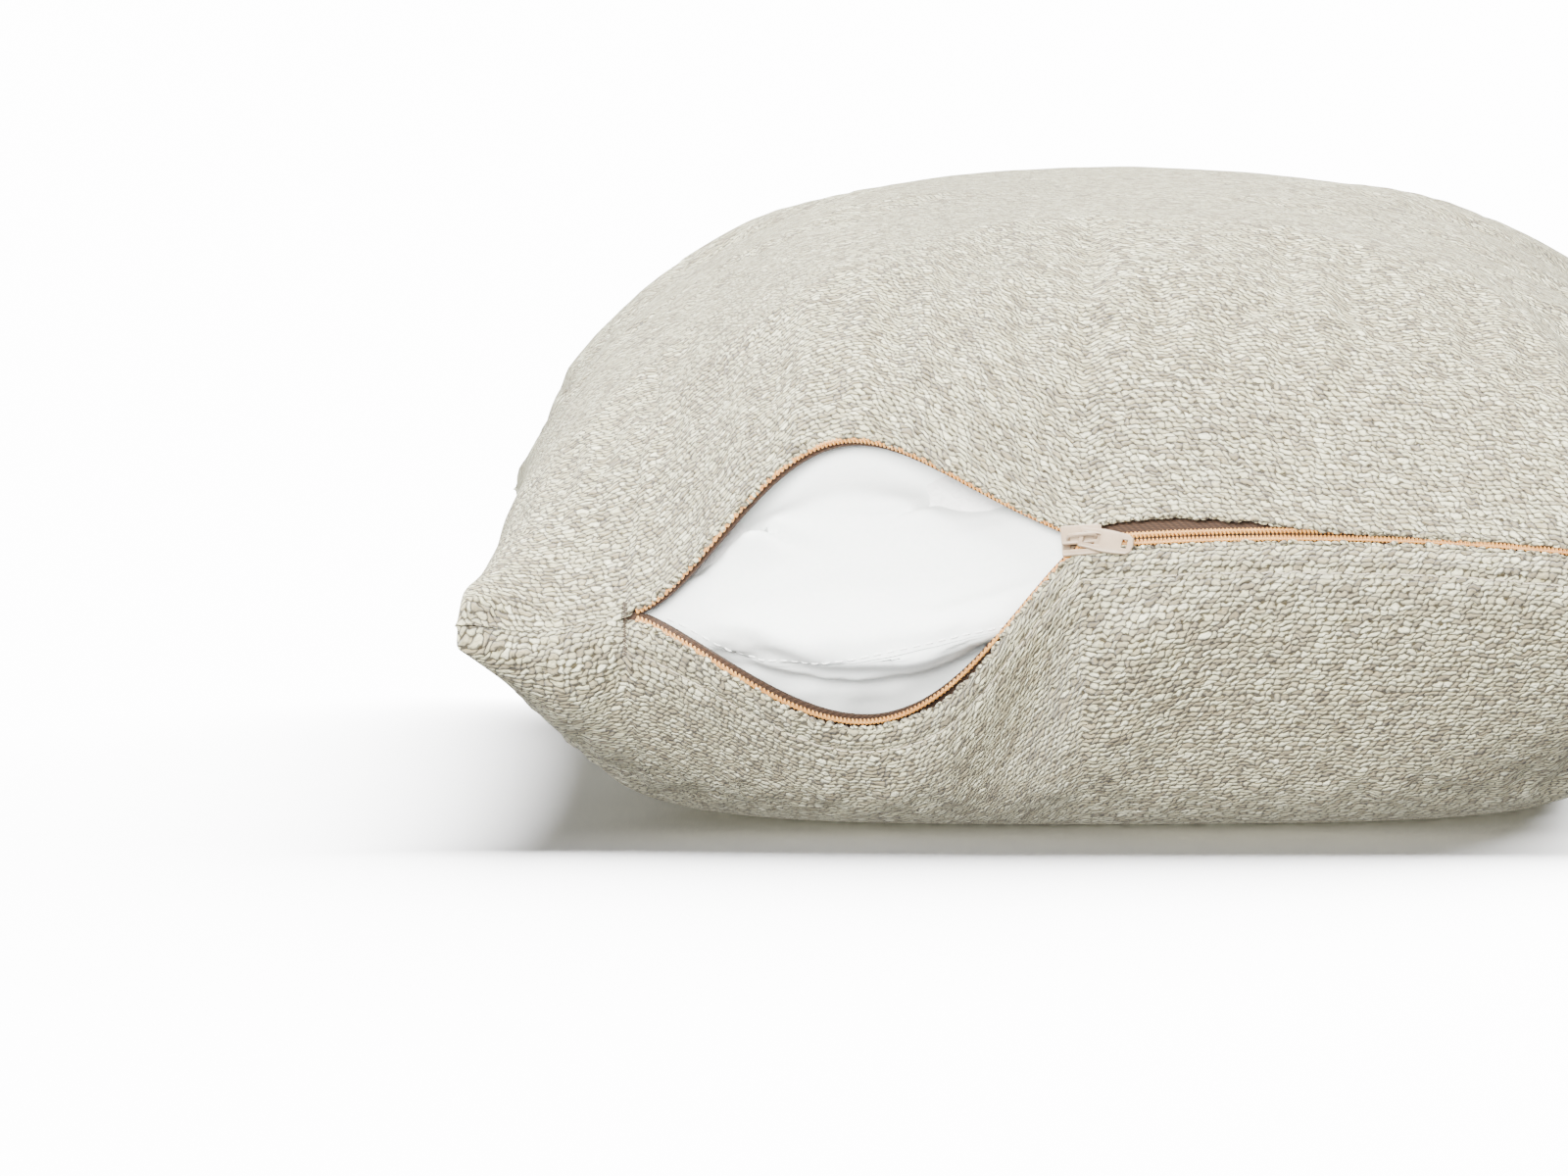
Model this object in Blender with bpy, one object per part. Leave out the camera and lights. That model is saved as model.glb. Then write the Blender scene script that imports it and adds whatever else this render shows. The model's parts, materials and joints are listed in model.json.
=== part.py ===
"""Lumbar support cushion: a stuffed inner case in a sewn cover whose zip is part open.

X runs along the zipped short edge, Y from that edge (at -Y) to the back, Z up.
The origin is the middle of the flat underside.  Every length is in metres.

Every layer is the same pillow form, drawn in by that layer's own inset.  A point of the form has
s from -1 (left edge) to 1 (right edge) and t from -1 (zipped edge) to 1 (back edge).  At the corner
tips, where the form has no height of its own, a layer's outer face stands off by its thickness.
"""
import math
from collections import namedtuple

import bmesh
import bpy
from mathutils import Matrix, Vector

# The stuffed form
CORNER_HALF_WIDTH = 0.150      # middle to a corner along the zipped edge
CORNER_HALF_LENGTH = 0.250     # middle to a corner along the long side
SIDE_PULL_IN = 0.010           # how far stuffing draws the long sides in
END_PULL_IN = 0.008            # how far it draws the short ends in
SEAM_HEIGHT = 0.060            # side seam above the floor, half way along
CORNER_HEIGHT = 0.0485         # corner tips above the floor
CROWN_RISE = 0.075             # top of the crown above the side seam
BELLY_DROP = 0.090             # depth the underside would have with no floor under it
FLOOR_ROUNDING = 0.012         # height over which the underside rounds up off the floor
CROSS_POWER = 2.4              # fullness of the section across the cushion
LENGTH_POWER = 5.0             # fullness of the section along the cushion
EDGE_POWER = 0.58              # how steeply the panels leave the seam
FACE_LEAN = 0.008              # the zipped face leans: back above the zip, forward below it
LEAN_HEIGHT = 0.014            # height over which most of that lean happens

# The zip
ZIP_CORNER_INSET = 0.0395      # from a corner tip to the end of the zip
ZIP_ARC_RADIUS = 0.606         # the seam bows up in an arc along the zip
ZIP_APEX_X = 0.038             # highest point of that arc
ZIP_APEX_HEIGHT = 0.0687
SLIDER_X = -0.0096             # where the slider stands now
MOUTH_END_X = -0.0093          # where the two coils part
UPPER_LIP_LIFT = 0.0281        # how far each lip stands off the closed line, at most
LOWER_LIP_DROP = 0.0345
UPPER_LIP_SKEW = 0.867
LOWER_LIP_SKEW = 1.088
UPPER_LIP_POWERS = (2.0, 1.15)
LOWER_LIP_POWERS = (1.1, 1.35)
TAPE_WIDTH = 0.0124            # one tape, from the chain's middle line to its woven edge
TAPE_THICKNESS = 0.0006
TAPE_TAIL = 0.006              # tape beyond each end of the opening
COIL_WIDTH = 0.0016
COIL_THICKNESS = 0.00125
TOPSTITCH_FROM_FOLD = 0.0066
BAR_TACK_HALF_LENGTH = 0.0055
CORNER_STOP = 0.014            # seam threads end this far short of a corner tip
CLOSING_STITCH_HALF_LENGTH = 0.105

# Slider and pull tab
SLIDER_HALF_LENGTH = 0.0046
SLIDER_NOSE_HALF_WIDTH = 0.0039
PLATE_THICKNESS = 0.0010
FLANGE_THICKNESS = 0.0008
DIAMOND_HALF_WIDTH = 0.0007
BAIL_HALF_SPAN = 0.0030
BAIL_RADIUS = 0.00045
TAB_LENGTH = 0.0118
TAB_HALF_WIDTH = 0.0026
TAB_THICKNESS = 0.0009
TAB_BAR = 0.0009               # the bar that turns under the bail
TAB_SLOT_LENGTH = 0.0011
TAB_SLOT_WIDTH = 0.0025
TAB_SLOT_FROM_END = 0.0014

# Cloth, thread and filling
COVER_THICKNESS = 0.0018
CASE_THICKNESS = 0.0008
THREAD_RADIUS = 0.0004
STITCH_RADIUS = 0.0003

# Clearances
SEAM_GAP = 0.0003              # between two panels at their shared seam
LAYER_GAP = 0.0003             # between pieces that lie on each other
TAPE_GAP = 0.0009              # zip tape to the cover and coil in front of it
CHAIN_GAP = 0.00035            # slider to the coils
TAPE_SLIDING_GAP = 0.0008      # slider's back plate and flanges to the tapes
THREAD_CLEARANCE = 0.0007      # seam thread to the cloth round it
CLOSING_STITCH_GAP = 0.0010    # closing stitch to the case's edge
TAB_CLEARANCE = 0.00035        # pull tab to bail and plate
FLAP_CLEARANCE = 0.0004        # flap edge to the passing slider
CASE_SIDE_ROOM = 0.0028        # inner case to cover, at each side, end and top
CASE_END_ROOM = 0.0060
CASE_TOP_ROOM = 0.0015
CASE_BELLY_ROOM = 0.0120       # the case rounds up off its base sooner than the cover does
FILL_SIDE_ROOM = 0.0028
FILL_TOP_ROOM = 0.0005

# What follows from them
ZIP_HALF_SPAN = CORNER_HALF_WIDTH - ZIP_CORNER_INSET
ZIP_START_X = -ZIP_HALF_SPAN
ZIP_END_X = ZIP_HALF_SPAN
OPENING_RAMP = 0.003           # the flaps part over this length at each end of the zip
OVERLAP = 0.0001               # joined shapes run into each other by this much
COIL_FRONT = COVER_THICKNESS - COIL_THICKNESS
TAPE_FRONT = COVER_THICKNESS + TAPE_GAP
TAPE_BACK = TAPE_FRONT + TAPE_THICKNESS
LEAN_ANGLE = math.atan(FACE_LEAN / LEAN_HEIGHT)
FLAP_SETBACK = SLIDER_NOSE_HALF_WIDTH + FLAP_CLEARANCE
TAPE_ROW_STEP = (TAPE_WIDTH - FLAP_SETBACK) / 2

# Mesh density: columns across the cushion, rows along it
SIDE_COLUMNS = 6
MOUTH_COLUMNS = 14
CHAIN_COLUMNS = 9
CROWN_ROWS = 12
CASE_COLUMNS = 20
CASE_ROWS = 14
SEAM_POINTS = 24

Inset = namedtuple("Inset", "sides ends top belly base corner_lift")
COLLECTION = "lumbar_support_cushion"


def layer(depth):
    """The inset of a surface that lies the same depth inside the cover all over."""
    return Inset(depth, depth, depth, depth, depth, max(COVER_THICKNESS - depth, 0.0))


CASE_INSET = Inset(COVER_THICKNESS + CASE_SIDE_ROOM, COVER_THICKNESS + CASE_END_ROOM,
                   COVER_THICKNESS + CASE_TOP_ROOM, COVER_THICKNESS + CASE_BELLY_ROOM,
                   COVER_THICKNESS + LAYER_GAP, CASE_THICKNESS)


def deeper(inset, side_and_end, top_and_belly, base):
    return Inset(inset.sides + side_and_end, inset.ends + side_and_end, inset.top + top_and_belly,
                 inset.belly + top_and_belly, inset.base + base,
                 max(inset.corner_lift - side_and_end, 0.0))


# ---------------------------------------------------------------- the pillow form

def smoothstep(x):
    x = min(max(x, 0.0), 1.0)
    return x * x * (3.0 - 2.0 * x)


def zip_line_height(x):
    """Height of the zip's middle line: an arc about a centre far below the cushion."""
    reach = x - ZIP_APEX_X
    return ZIP_APEX_HEIGHT - ZIP_ARC_RADIUS + math.sqrt(ZIP_ARC_RADIUS ** 2 - reach ** 2)


def seam_height(x, t):
    s = x / CORNER_HALF_WIDTH
    plain = SEAM_HEIGHT - (SEAM_HEIGHT - CORNER_HEIGHT) * (s * t) ** 4
    plain_front = SEAM_HEIGHT - (SEAM_HEIGHT - CORNER_HEIGHT) * s ** 4
    past_zip = smoothstep((abs(x) - ZIP_HALF_SPAN) / ZIP_CORNER_INSET)
    front = zip_line_height(x) * (1.0 - past_zip) + CORNER_HEIGHT * past_zip
    return plain + (front - plain_front) * ((1.0 - t) / 2.0) ** 8


def across_fullness(s):
    return max(1.0 - abs(s) ** CROSS_POWER, 0.0) ** EDGE_POWER


def along_fullness(t):
    return max(1.0 - abs(t) ** LENGTH_POWER, 0.0) ** EDGE_POWER


def rest_on(height, floor):
    """Keep a height above a floor, rounding up to it gently."""
    above = height - floor
    if above >= FLOOR_ROUNDING:
        return height
    if above <= -FLOOR_ROUNDING:
        return floor
    return floor + (above + FLOOR_ROUNDING) ** 2 / (4.0 * FLOOR_ROUNDING)


def skin_point(s, t, side, inset):
    """A point of one layer: side is 1 on the top panel and -1 on the bottom panel."""
    half_width = CORNER_HALF_WIDTH - inset.sides - SIDE_PULL_IN * (1.0 - t ** 4)
    half_length = CORNER_HALF_LENGTH - inset.ends - END_PULL_IN * (1.0 - s ** 10)
    swell = across_fullness(s) * along_fullness(t)
    seam = seam_height(s * half_width, t)
    edge = SEAM_GAP / 2 + inset.corner_lift * (s * t) ** 12
    if side > 0:
        z = seam + edge + (CROWN_RISE - inset.top) * swell
    else:
        z = rest_on(seam - edge - (BELLY_DROP - inset.belly) * swell, inset.base)
    lean = FACE_LEAN * math.tanh((z - seam) / LEAN_HEIGHT) * ((1.0 - t) / 2.0) ** 6
    return Vector((s * half_width, t * half_length + lean, z))


def front_t(s, offset, side):
    """Where along the form the front face stands this far above or below the zip line."""
    reach = CROWN_RISE if side > 0 else BELLY_DROP
    share = max(offset - SEAM_GAP / 2, 0.0) / (reach * max(across_fullness(s), 0.3))
    return -(1.0 - share ** (1.0 / EDGE_POWER)) ** (1.0 / LENGTH_POWER)


def front_point(s, offset, side, depth):
    return skin_point(s, front_t(s, offset, side), side, layer(depth))


def lip_offset(x, side):
    """How far the coil stands off the closed zip line: nothing where the chain is shut."""
    share = (x - ZIP_START_X) / (MOUTH_END_X - ZIP_START_X)
    if not 0.0 < share < 1.0:
        return 0.0
    if side > 0:
        size, skew, powers = UPPER_LIP_LIFT, UPPER_LIP_SKEW, UPPER_LIP_POWERS
    else:
        size, skew, powers = LOWER_LIP_DROP, LOWER_LIP_SKEW, LOWER_LIP_POWERS
    power = powers[0] + (powers[1] - powers[0]) * share ** 2
    return size * math.sin(math.pi * share ** skew) ** power


def flap_offset(x, side):
    """Where the cover panel's edge is: at the seam, or set back from the coil along the zip."""
    past_end = (abs(x) - ZIP_HALF_SPAN) / OPENING_RAMP
    opened = 1.0 - min(max(past_end, 0.0), 1.0)
    return SEAM_GAP / 2 + (FLAP_SETBACK - SEAM_GAP / 2) * opened + lip_offset(x, side)


# ---------------------------------------------------------------- columns and rows

def even_steps(start, end, count):
    return [start + (end - start) * i / count for i in range(count)]


def cover_columns():
    """s of every column, closest together at the side seams and along the mouth."""
    tail = ZIP_HALF_SPAN + TAPE_TAIL
    reach = CORNER_HALF_WIDTH - tail
    rim = [1.0 - math.cos(math.pi / 2 * i / SIDE_COLUMNS) for i in range(SIDE_COLUMNS)]
    columns = [-CORNER_HALF_WIDTH + reach * step for step in rim]
    columns += [-tail, ZIP_START_X - OPENING_RAMP]
    columns += even_steps(ZIP_START_X, MOUTH_END_X, MOUTH_COLUMNS)
    columns += even_steps(MOUTH_END_X, ZIP_END_X, CHAIN_COLUMNS)
    columns += [ZIP_END_X, ZIP_END_X + OPENING_RAMP, tail]
    columns += [CORNER_HALF_WIDTH - reach * step for step in reversed(rim)]
    return [x / CORNER_HALF_WIDTH for x in columns]


def zip_columns():
    tail = (ZIP_HALF_SPAN + TAPE_TAIL) / CORNER_HALF_WIDTH + 1e-6
    return [s for s in cover_columns() if abs(s) <= tail]


def cover_rows(s, side):
    """t of every row of a cover panel at one column, from its front edge to the back seam."""
    x = s * CORNER_HALF_WIDTH
    over_tape = abs(x) <= ZIP_HALF_SPAN + TAPE_TAIL + OVERLAP
    offsets = [flap_offset(x, side)]
    offsets += [FLAP_SETBACK + lip_offset(x, side) + TAPE_ROW_STEP * i for i in (1, 2)]
    rows = [front_t(s, offset, side if over_tape else 1) for offset in offsets]
    start = math.acos(-rows[-1]) / math.pi
    for i in range(1, CROWN_ROWS + 1):
        rows.append(-math.cos(math.pi * (start + (1.0 - start) * i / CROWN_ROWS)))
    return rows


def case_grid(i, count):
    return -math.cos(math.pi * i / count)


# ---------------------------------------------------------------- making pieces

def clear_scene():
    for piece in list(bpy.data.objects):
        bpy.data.objects.remove(piece, do_unlink=True)


def collection(name):
    group = bpy.data.collections.new(name)
    bpy.context.scene.collection.children.link(group)
    return group


def material(name, colour, roughness, metallic=0.0):
    finish = bpy.data.materials.new(name)
    finish.use_nodes = True
    shader = finish.node_tree.nodes["Principled BSDF"]
    shader.inputs["Base Color"].default_value = (*colour, 1.0)
    shader.inputs["Roughness"].default_value = roughness
    shader.inputs["Metallic"].default_value = metallic
    return finish


def add_object(name, data, finish, group):
    piece = bpy.data.objects.new(name, data)
    if finish is not None:
        data.materials.append(finish)
    group.objects.link(piece)
    return piece


def slab(name, columns, rows, place, mirrored, finish, group):
    """A closed slab of columns x rows x one layer; place(i, j, k) says where each corner goes.

    mirrored says that place turns the slab into its mirror image, so its faces are turned round."""
    bm = bmesh.new()
    bmesh.ops.create_grid(bm, x_segments=columns, y_segments=rows, size=1.0)
    made = bmesh.ops.extrude_face_region(bm, geom=bm.faces[:], use_keep_orig=True)
    upper = [part for part in made["geom"] if isinstance(part, bmesh.types.BMVert)]
    bmesh.ops.translate(bm, verts=upper, vec=(0.0, 0.0, 1.0))
    bmesh.ops.recalc_face_normals(bm, faces=bm.faces[:])
    if mirrored:
        bmesh.ops.reverse_faces(bm, faces=bm.faces[:])
    for vert in bm.verts:
        i = round((vert.co.x + 1.0) / 2.0 * columns)
        j = round((vert.co.y + 1.0) / 2.0 * rows)
        vert.co = place(i, j, round(vert.co.z))
    mesh = bpy.data.meshes.new(name)
    bm.to_mesh(mesh)
    bm.free()
    mesh.shade_smooth()
    mesh.set_sharp_from_angle(angle=math.radians(50))
    return add_object(name, mesh, finish, group)


def tube(name, points, radius, finish, group):
    curve = bpy.data.curves.new(name, "CURVE")
    curve.dimensions = "3D"
    curve.bevel_depth = radius
    curve.bevel_resolution = 1
    curve.use_fill_caps = True
    spline = curve.splines.new("POLY")
    spline.points.add(len(points) - 1)
    for knot, point in zip(spline.points, points):
        knot.co = (*point, 1.0)
    return add_object(name, curve, finish, group)


def flat_plate(name, outlines, low, high, finish, group):
    """A flat plate between two heights; the first outline is its rim, the others are holes."""
    curve = bpy.data.curves.new(name, "CURVE")
    curve.dimensions = "2D"
    curve.fill_mode = "BOTH"
    curve.extrude = (high - low) / 2
    for outline in outlines:
        spline = curve.splines.new("POLY")
        spline.points.add(len(outline) - 1)
        for knot, (x, y) in zip(spline.points, outline):
            knot.co = (x, y, (high + low) / 2, 1.0)
        spline.use_cyclic_u = True
    return solid_from_curve(add_object(name, curve, None, group), finish, group)


def solid_from_curve(source, finish, group):
    """Turn a curve object into a welded mesh object of the same name and place."""
    bpy.context.view_layer.update()
    evaluated = source.evaluated_get(bpy.context.evaluated_depsgraph_get())
    mesh = bpy.data.meshes.new_from_object(evaluated)
    place, name = source.matrix_world.copy(), source.name
    bpy.data.objects.remove(source, do_unlink=True)
    bm = bmesh.new()
    bm.from_mesh(mesh)
    bmesh.ops.remove_doubles(bm, verts=bm.verts[:], dist=1e-6)
    bmesh.ops.recalc_face_normals(bm, faces=bm.faces[:])
    bm.to_mesh(mesh)
    bm.free()
    mesh.materials.clear()
    solid = add_object(name, mesh, finish, group)
    solid.name = name
    solid.matrix_world = place
    return solid


def box(name, low, high, finish, group):
    low, high = Vector(low), Vector(high)
    bm = bmesh.new()
    size = Matrix.Diagonal((*(high - low), 1.0))
    bmesh.ops.create_cube(bm, size=1.0, matrix=Matrix.Translation((low + high) / 2) @ size)
    mesh = bpy.data.meshes.new(name)
    bm.to_mesh(mesh)
    bm.free()
    return add_object(name, mesh, finish, group)


def join_into(target, tool):
    union = target.modifiers.new(tool.name, "BOOLEAN")
    union.operation = "UNION"
    union.object = tool
    tool.hide_render = True
    tool.display_type = "WIRE"


def empty(name, place, group, parent=None):
    marker = bpy.data.objects.new(name, None)
    marker.empty_display_size = 0.01
    group.objects.link(marker)
    marker.parent = parent
    marker.matrix_basis = place
    return marker


# ---------------------------------------------------------------- cover and inner case

def make_cover_panel(name, side, finish, group):
    columns = cover_columns()
    rows = [cover_rows(s, side) for s in columns]

    def place(i, j, k):
        return skin_point(columns[i], rows[i][j], side, layer(COVER_THICKNESS * k))

    return slab(name, len(columns) - 1, len(rows[0]) - 1, place, side > 0, finish, group)


def make_case_panel(name, side, finish, group):
    def place(i, j, k):
        inset = deeper(CASE_INSET, CASE_THICKNESS * k, CASE_THICKNESS * k, CASE_THICKNESS * k)
        return skin_point(case_grid(i, CASE_COLUMNS), case_grid(j, CASE_ROWS), side, inset)

    return slab(name, CASE_COLUMNS, CASE_ROWS, place, side > 0, finish, group)


def make_filling(finish, group):
    inset = deeper(CASE_INSET, CASE_THICKNESS + FILL_SIDE_ROOM, CASE_THICKNESS + FILL_TOP_ROOM,
                   CASE_THICKNESS + LAYER_GAP)

    def place(i, j, k):
        return skin_point(case_grid(i, CASE_COLUMNS), case_grid(j, CASE_ROWS), 2 * k - 1, inset)

    return slab("fibre_fill", CASE_COLUMNS, CASE_ROWS, place, False, finish, group)


def seam_run(start, end, inset):
    """Points along the outline's seam between two (s, t) places, drawn in by an inset."""
    points = []
    for i in range(SEAM_POINTS + 1):
        share = i / SEAM_POINTS
        s, t = (start[k] + (end[k] - start[k]) * share for k in (0, 1))
        point = skin_point(s, t, 1, inset)
        point.z = seam_height(point.x, t)
        points.append(point)
    return points


def make_cover_seams(finish, group):
    """The thread just inside each closed seam of the cover, stopping short of the corners."""
    inset = layer(COVER_THICKNESS + THREAD_CLEARANCE + THREAD_RADIUS)
    stop_t = 1.0 - CORNER_STOP / CORNER_HALF_LENGTH
    stop_s = 1.0 - CORNER_STOP / CORNER_HALF_WIDTH
    zip_s = (ZIP_HALF_SPAN + TAPE_TAIL + 2 * THREAD_CLEARANCE) / CORNER_HALF_WIDTH
    runs = {
        "left_side_seam_thread": ((-1, -stop_t), (-1, stop_t)),
        "right_side_seam_thread": ((1, -stop_t), (1, stop_t)),
        "back_seam_thread": ((-stop_s, 1), (stop_s, 1)),
        "front_left_seam_thread": ((-stop_s, -1), (-zip_s, -1)),
        "front_right_seam_thread": ((zip_s, -1), (stop_s, -1)),
    }
    for name, (start, end) in runs.items():
        tube(name, seam_run(start, end, inset), THREAD_RADIUS, finish, group)


def make_case_seams(finish, group):
    """Side and back seam of the inner case, and the outside stitch that closes its filling end."""
    depth = CASE_THICKNESS + THREAD_CLEARANCE + STITCH_RADIUS
    inset = deeper(CASE_INSET, depth, depth, depth)
    near = 1.0 - CORNER_STOP / CORNER_HALF_LENGTH
    stop = 1.0 - CORNER_STOP / CORNER_HALF_WIDTH
    tube("inner_case_left_seam_thread", seam_run((-1, -near), (-1, near), inset), STITCH_RADIUS, finish, group)
    tube("inner_case_right_seam_thread", seam_run((1, -near), (1, near), inset), STITCH_RADIUS, finish, group)
    tube("inner_case_back_seam_thread", seam_run((-stop, 1), (stop, 1), inset), STITCH_RADIUS, finish, group)
    outside = -(CLOSING_STITCH_GAP + STITCH_RADIUS)
    end = CLOSING_STITCH_HALF_LENGTH / CORNER_HALF_WIDTH
    closing = seam_run((-end, -1), (end, -1), deeper(CASE_INSET, outside, 0.0, 0.0))
    tube("inner_case_closing_stitch", closing, STITCH_RADIUS, finish, group)


# ---------------------------------------------------------------- zip

def make_tape(name, side, finish, group):
    columns = zip_columns()
    across = [SEAM_GAP / 2] + [FLAP_SETBACK + TAPE_ROW_STEP * i for i in range(3)]

    def place(i, j, k):
        offset = across[j] + lip_offset(columns[i] * CORNER_HALF_WIDTH, side)
        return front_point(columns[i], offset, side, TAPE_FRONT + TAPE_THICKNESS * k)

    return slab(name, len(columns) - 1, 3, place, side > 0, finish, group)


def make_coil(name, side, finish, group):
    """One coil row as its envelope: it lies on the tape with its loops on the chain's middle line."""
    reach = ZIP_HALF_SPAN / CORNER_HALF_WIDTH + 1e-6
    columns = [s for s in zip_columns() if abs(s) <= reach]

    def place(i, j, k):
        offset = SEAM_GAP / 2 + COIL_WIDTH * j + lip_offset(columns[i] * CORNER_HALF_WIDTH, side)
        return front_point(columns[i], offset, side, COIL_FRONT + COIL_THICKNESS * k)

    return slab(name, len(columns) - 1, 1, place, side > 0, finish, group)


def make_zip_stitching(finish, group):
    columns = zip_columns()[1:-1]

    def run(side, across, depth):
        return [front_point(s, across + lip_offset(s * CORNER_HALF_WIDTH, side), side, depth) for s in columns]

    hidden = run(1, FLAP_SETBACK + TAPE_ROW_STEP, TAPE_BACK + LAYER_GAP + STITCH_RADIUS)
    shown = run(-1, FLAP_SETBACK + TOPSTITCH_FROM_FOLD, -(LAYER_GAP + STITCH_RADIUS))
    tube("zip_stitching_upper", hidden, STITCH_RADIUS, finish, group)
    tube("zip_topstitch_lower", shown, STITCH_RADIUS, finish, group)


def make_bar_tack(name, x, finish, group):
    s = x / CORNER_HALF_WIDTH
    depth = -(LAYER_GAP + THREAD_RADIUS)
    points = []
    for i in range(-3, 4):
        offset = BAR_TACK_HALF_LENGTH * abs(i) / 3
        points.append(front_point(s, offset, 1 if i >= 0 else -1, depth))
    points[3].z = seam_height(x, -1.0)
    tube(name, points, THREAD_RADIUS, finish, group)


# ---------------------------------------------------------------- slider and pull tab

COIL_HALF_DEPTH = COIL_THICKNESS / 2 * math.cos(LEAN_ANGLE)
COIL_MIDDLE = COIL_FRONT + COIL_THICKNESS / 2
COIL_REACH = (SEAM_GAP / 2 + COIL_WIDTH) / math.cos(LEAN_ANGLE) + COIL_THICKNESS / 2 * math.sin(LEAN_ANGLE)
CHANNEL_HALF_WIDTH = COIL_REACH + CHAIN_GAP
FRONT_PLATE_LOW = COIL_HALF_DEPTH + CHAIN_GAP
FRONT_PLATE_TOP = FRONT_PLATE_LOW + PLATE_THICKNESS
FLANGE_LOW = TAPE_SLIDING_GAP / 2 - (TAPE_FRONT - COIL_MIDDLE) * math.cos(LEAN_ANGLE)
BACK_PLATE_TOP = -(TAPE_BACK - COIL_MIDDLE) * math.cos(LEAN_ANGLE) - TAPE_SLIDING_GAP
BACK_PLATE_LOW = BACK_PLATE_TOP - 0.8 * PLATE_THICKNESS
TAB_HALF_DIAGONAL = math.hypot(TAB_BAR, TAB_THICKNESS) / 2
TAB_AXIS_HEIGHT = FRONT_PLATE_TOP + TAB_CLEARANCE + TAB_HALF_DIAGONAL
BAIL_HEIGHT = TAB_AXIS_HEIGHT + TAB_HALF_DIAGONAL + TAB_CLEARANCE + BAIL_RADIUS


def slider_outline(nose_half_width):
    rear = CHANNEL_HALF_WIDTH + FLANGE_THICKNESS
    length = SLIDER_HALF_LENGTH
    half = [(-length, nose_half_width * 0.62), (-length * 0.80, nose_half_width),
            (-length * 0.28, nose_half_width), (length * 0.12, rear), (length * 0.86, rear),
            (length, rear * 0.8)]
    return half + [(x, -y) for x, y in reversed(half)]


def make_slider(finish, group, tools, seat):
    """The die-cast slider: two plates joined by the diamond at the nose, flanges and a bail."""
    outline = [slider_outline(SLIDER_NOSE_HALF_WIDTH)]
    body = flat_plate("zip_slider_body", outline, FRONT_PLATE_LOW, FRONT_PLATE_TOP, finish, group)
    back = flat_plate("slider_back_plate", outline, BACK_PLATE_LOW, BACK_PLATE_TOP, None, tools)
    half_diamond = DIAMOND_HALF_WIDTH
    nose = -SLIDER_HALF_LENGTH * 0.86
    diamond = [(nose, 0.0), (nose + half_diamond, half_diamond), (nose + 3 * half_diamond, 0.0),
               (nose + half_diamond, -half_diamond)]
    post = flat_plate("slider_diamond", [diamond], BACK_PLATE_TOP - OVERLAP, FRONT_PLATE_LOW + OVERLAP,
                      None, tools)
    parts = [post, back]
    flange_start, flange_end = SLIDER_HALF_LENGTH * 0.14, SLIDER_HALF_LENGTH * 0.84
    for name, side in (("slider_upper_flange", 1), ("slider_lower_flange", -1)):
        near, far = sorted((side * CHANNEL_HALF_WIDTH, side * (CHANNEL_HALF_WIDTH + FLANGE_THICKNESS * 0.9)))
        low = (flange_start, near, FLANGE_LOW)
        high = (flange_end, far, FRONT_PLATE_LOW + OVERLAP)
        parts.append(box(name, low, high, None, tools))
    parts.append(make_bail(tools))
    for part in parts:
        join_into(body, part)
    for part in [body, *parts]:
        part.parent = seat
    return body


def make_bail(tools):
    """The arch on the front plate that the pull tab's bar turns under."""
    shoulder = BAIL_HALF_SPAN - 2 * BAIL_RADIUS
    foot = FRONT_PLATE_TOP - 2 * OVERLAP
    points = [(-BAIL_HALF_SPAN, 0, foot), (-BAIL_HALF_SPAN, 0, BAIL_HEIGHT - BAIL_RADIUS),
              (-shoulder, 0, BAIL_HEIGHT), (shoulder, 0, BAIL_HEIGHT),
              (BAIL_HALF_SPAN, 0, BAIL_HEIGHT - BAIL_RADIUS), (BAIL_HALF_SPAN, 0, foot)]
    return solid_from_curve(tube("slider_bail", points, BAIL_RADIUS, None, tools), None, tools)


def rounded_end(x, half_width, radius, steps=4):
    """Corner points of a plate's far end, from its lower to its upper edge."""
    points = []
    for turn, side in ((-90, -1), (0, 1)):
        for i in range(steps + 1):
            angle = math.radians(turn + 90 * i / steps)
            points.append((x - radius + radius * math.cos(angle),
                           side * (half_width - radius) + radius * math.sin(angle)))
    return points


def make_pull_tab(finish, group, hinge):
    """The tab: a bar under the bail, two arms round it, and a flat plate with a small slot."""
    half_bar = TAB_BAR / 2
    eye_end = BAIL_HALF_SPAN + BAIL_RADIUS + 2 * TAB_CLEARANCE
    eye_half = BAIL_RADIUS + 2 * TAB_CLEARANCE
    root_half = TAB_HALF_WIDTH * 0.85
    rim = [(-half_bar, -root_half)] + rounded_end(TAB_LENGTH, TAB_HALF_WIDTH, 0.5 * TAB_HALF_WIDTH)
    rim += [(-half_bar, root_half)]
    eye = [(half_bar, -eye_half), (eye_end, -eye_half), (eye_end, eye_half), (half_bar, eye_half)]
    slot_end = TAB_LENGTH - TAB_SLOT_FROM_END
    slot_start = slot_end - TAB_SLOT_LENGTH
    slot_half = TAB_SLOT_WIDTH / 2
    slot = [(slot_start, -slot_half), (slot_end, -slot_half), (slot_end, slot_half), (slot_start, slot_half)]
    tab = flat_plate("zip_pull_tab", [rim, eye, slot], -TAB_THICKNESS / 2, TAB_THICKNESS / 2, finish, group)
    tab.parent = hinge
    return tab


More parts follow.
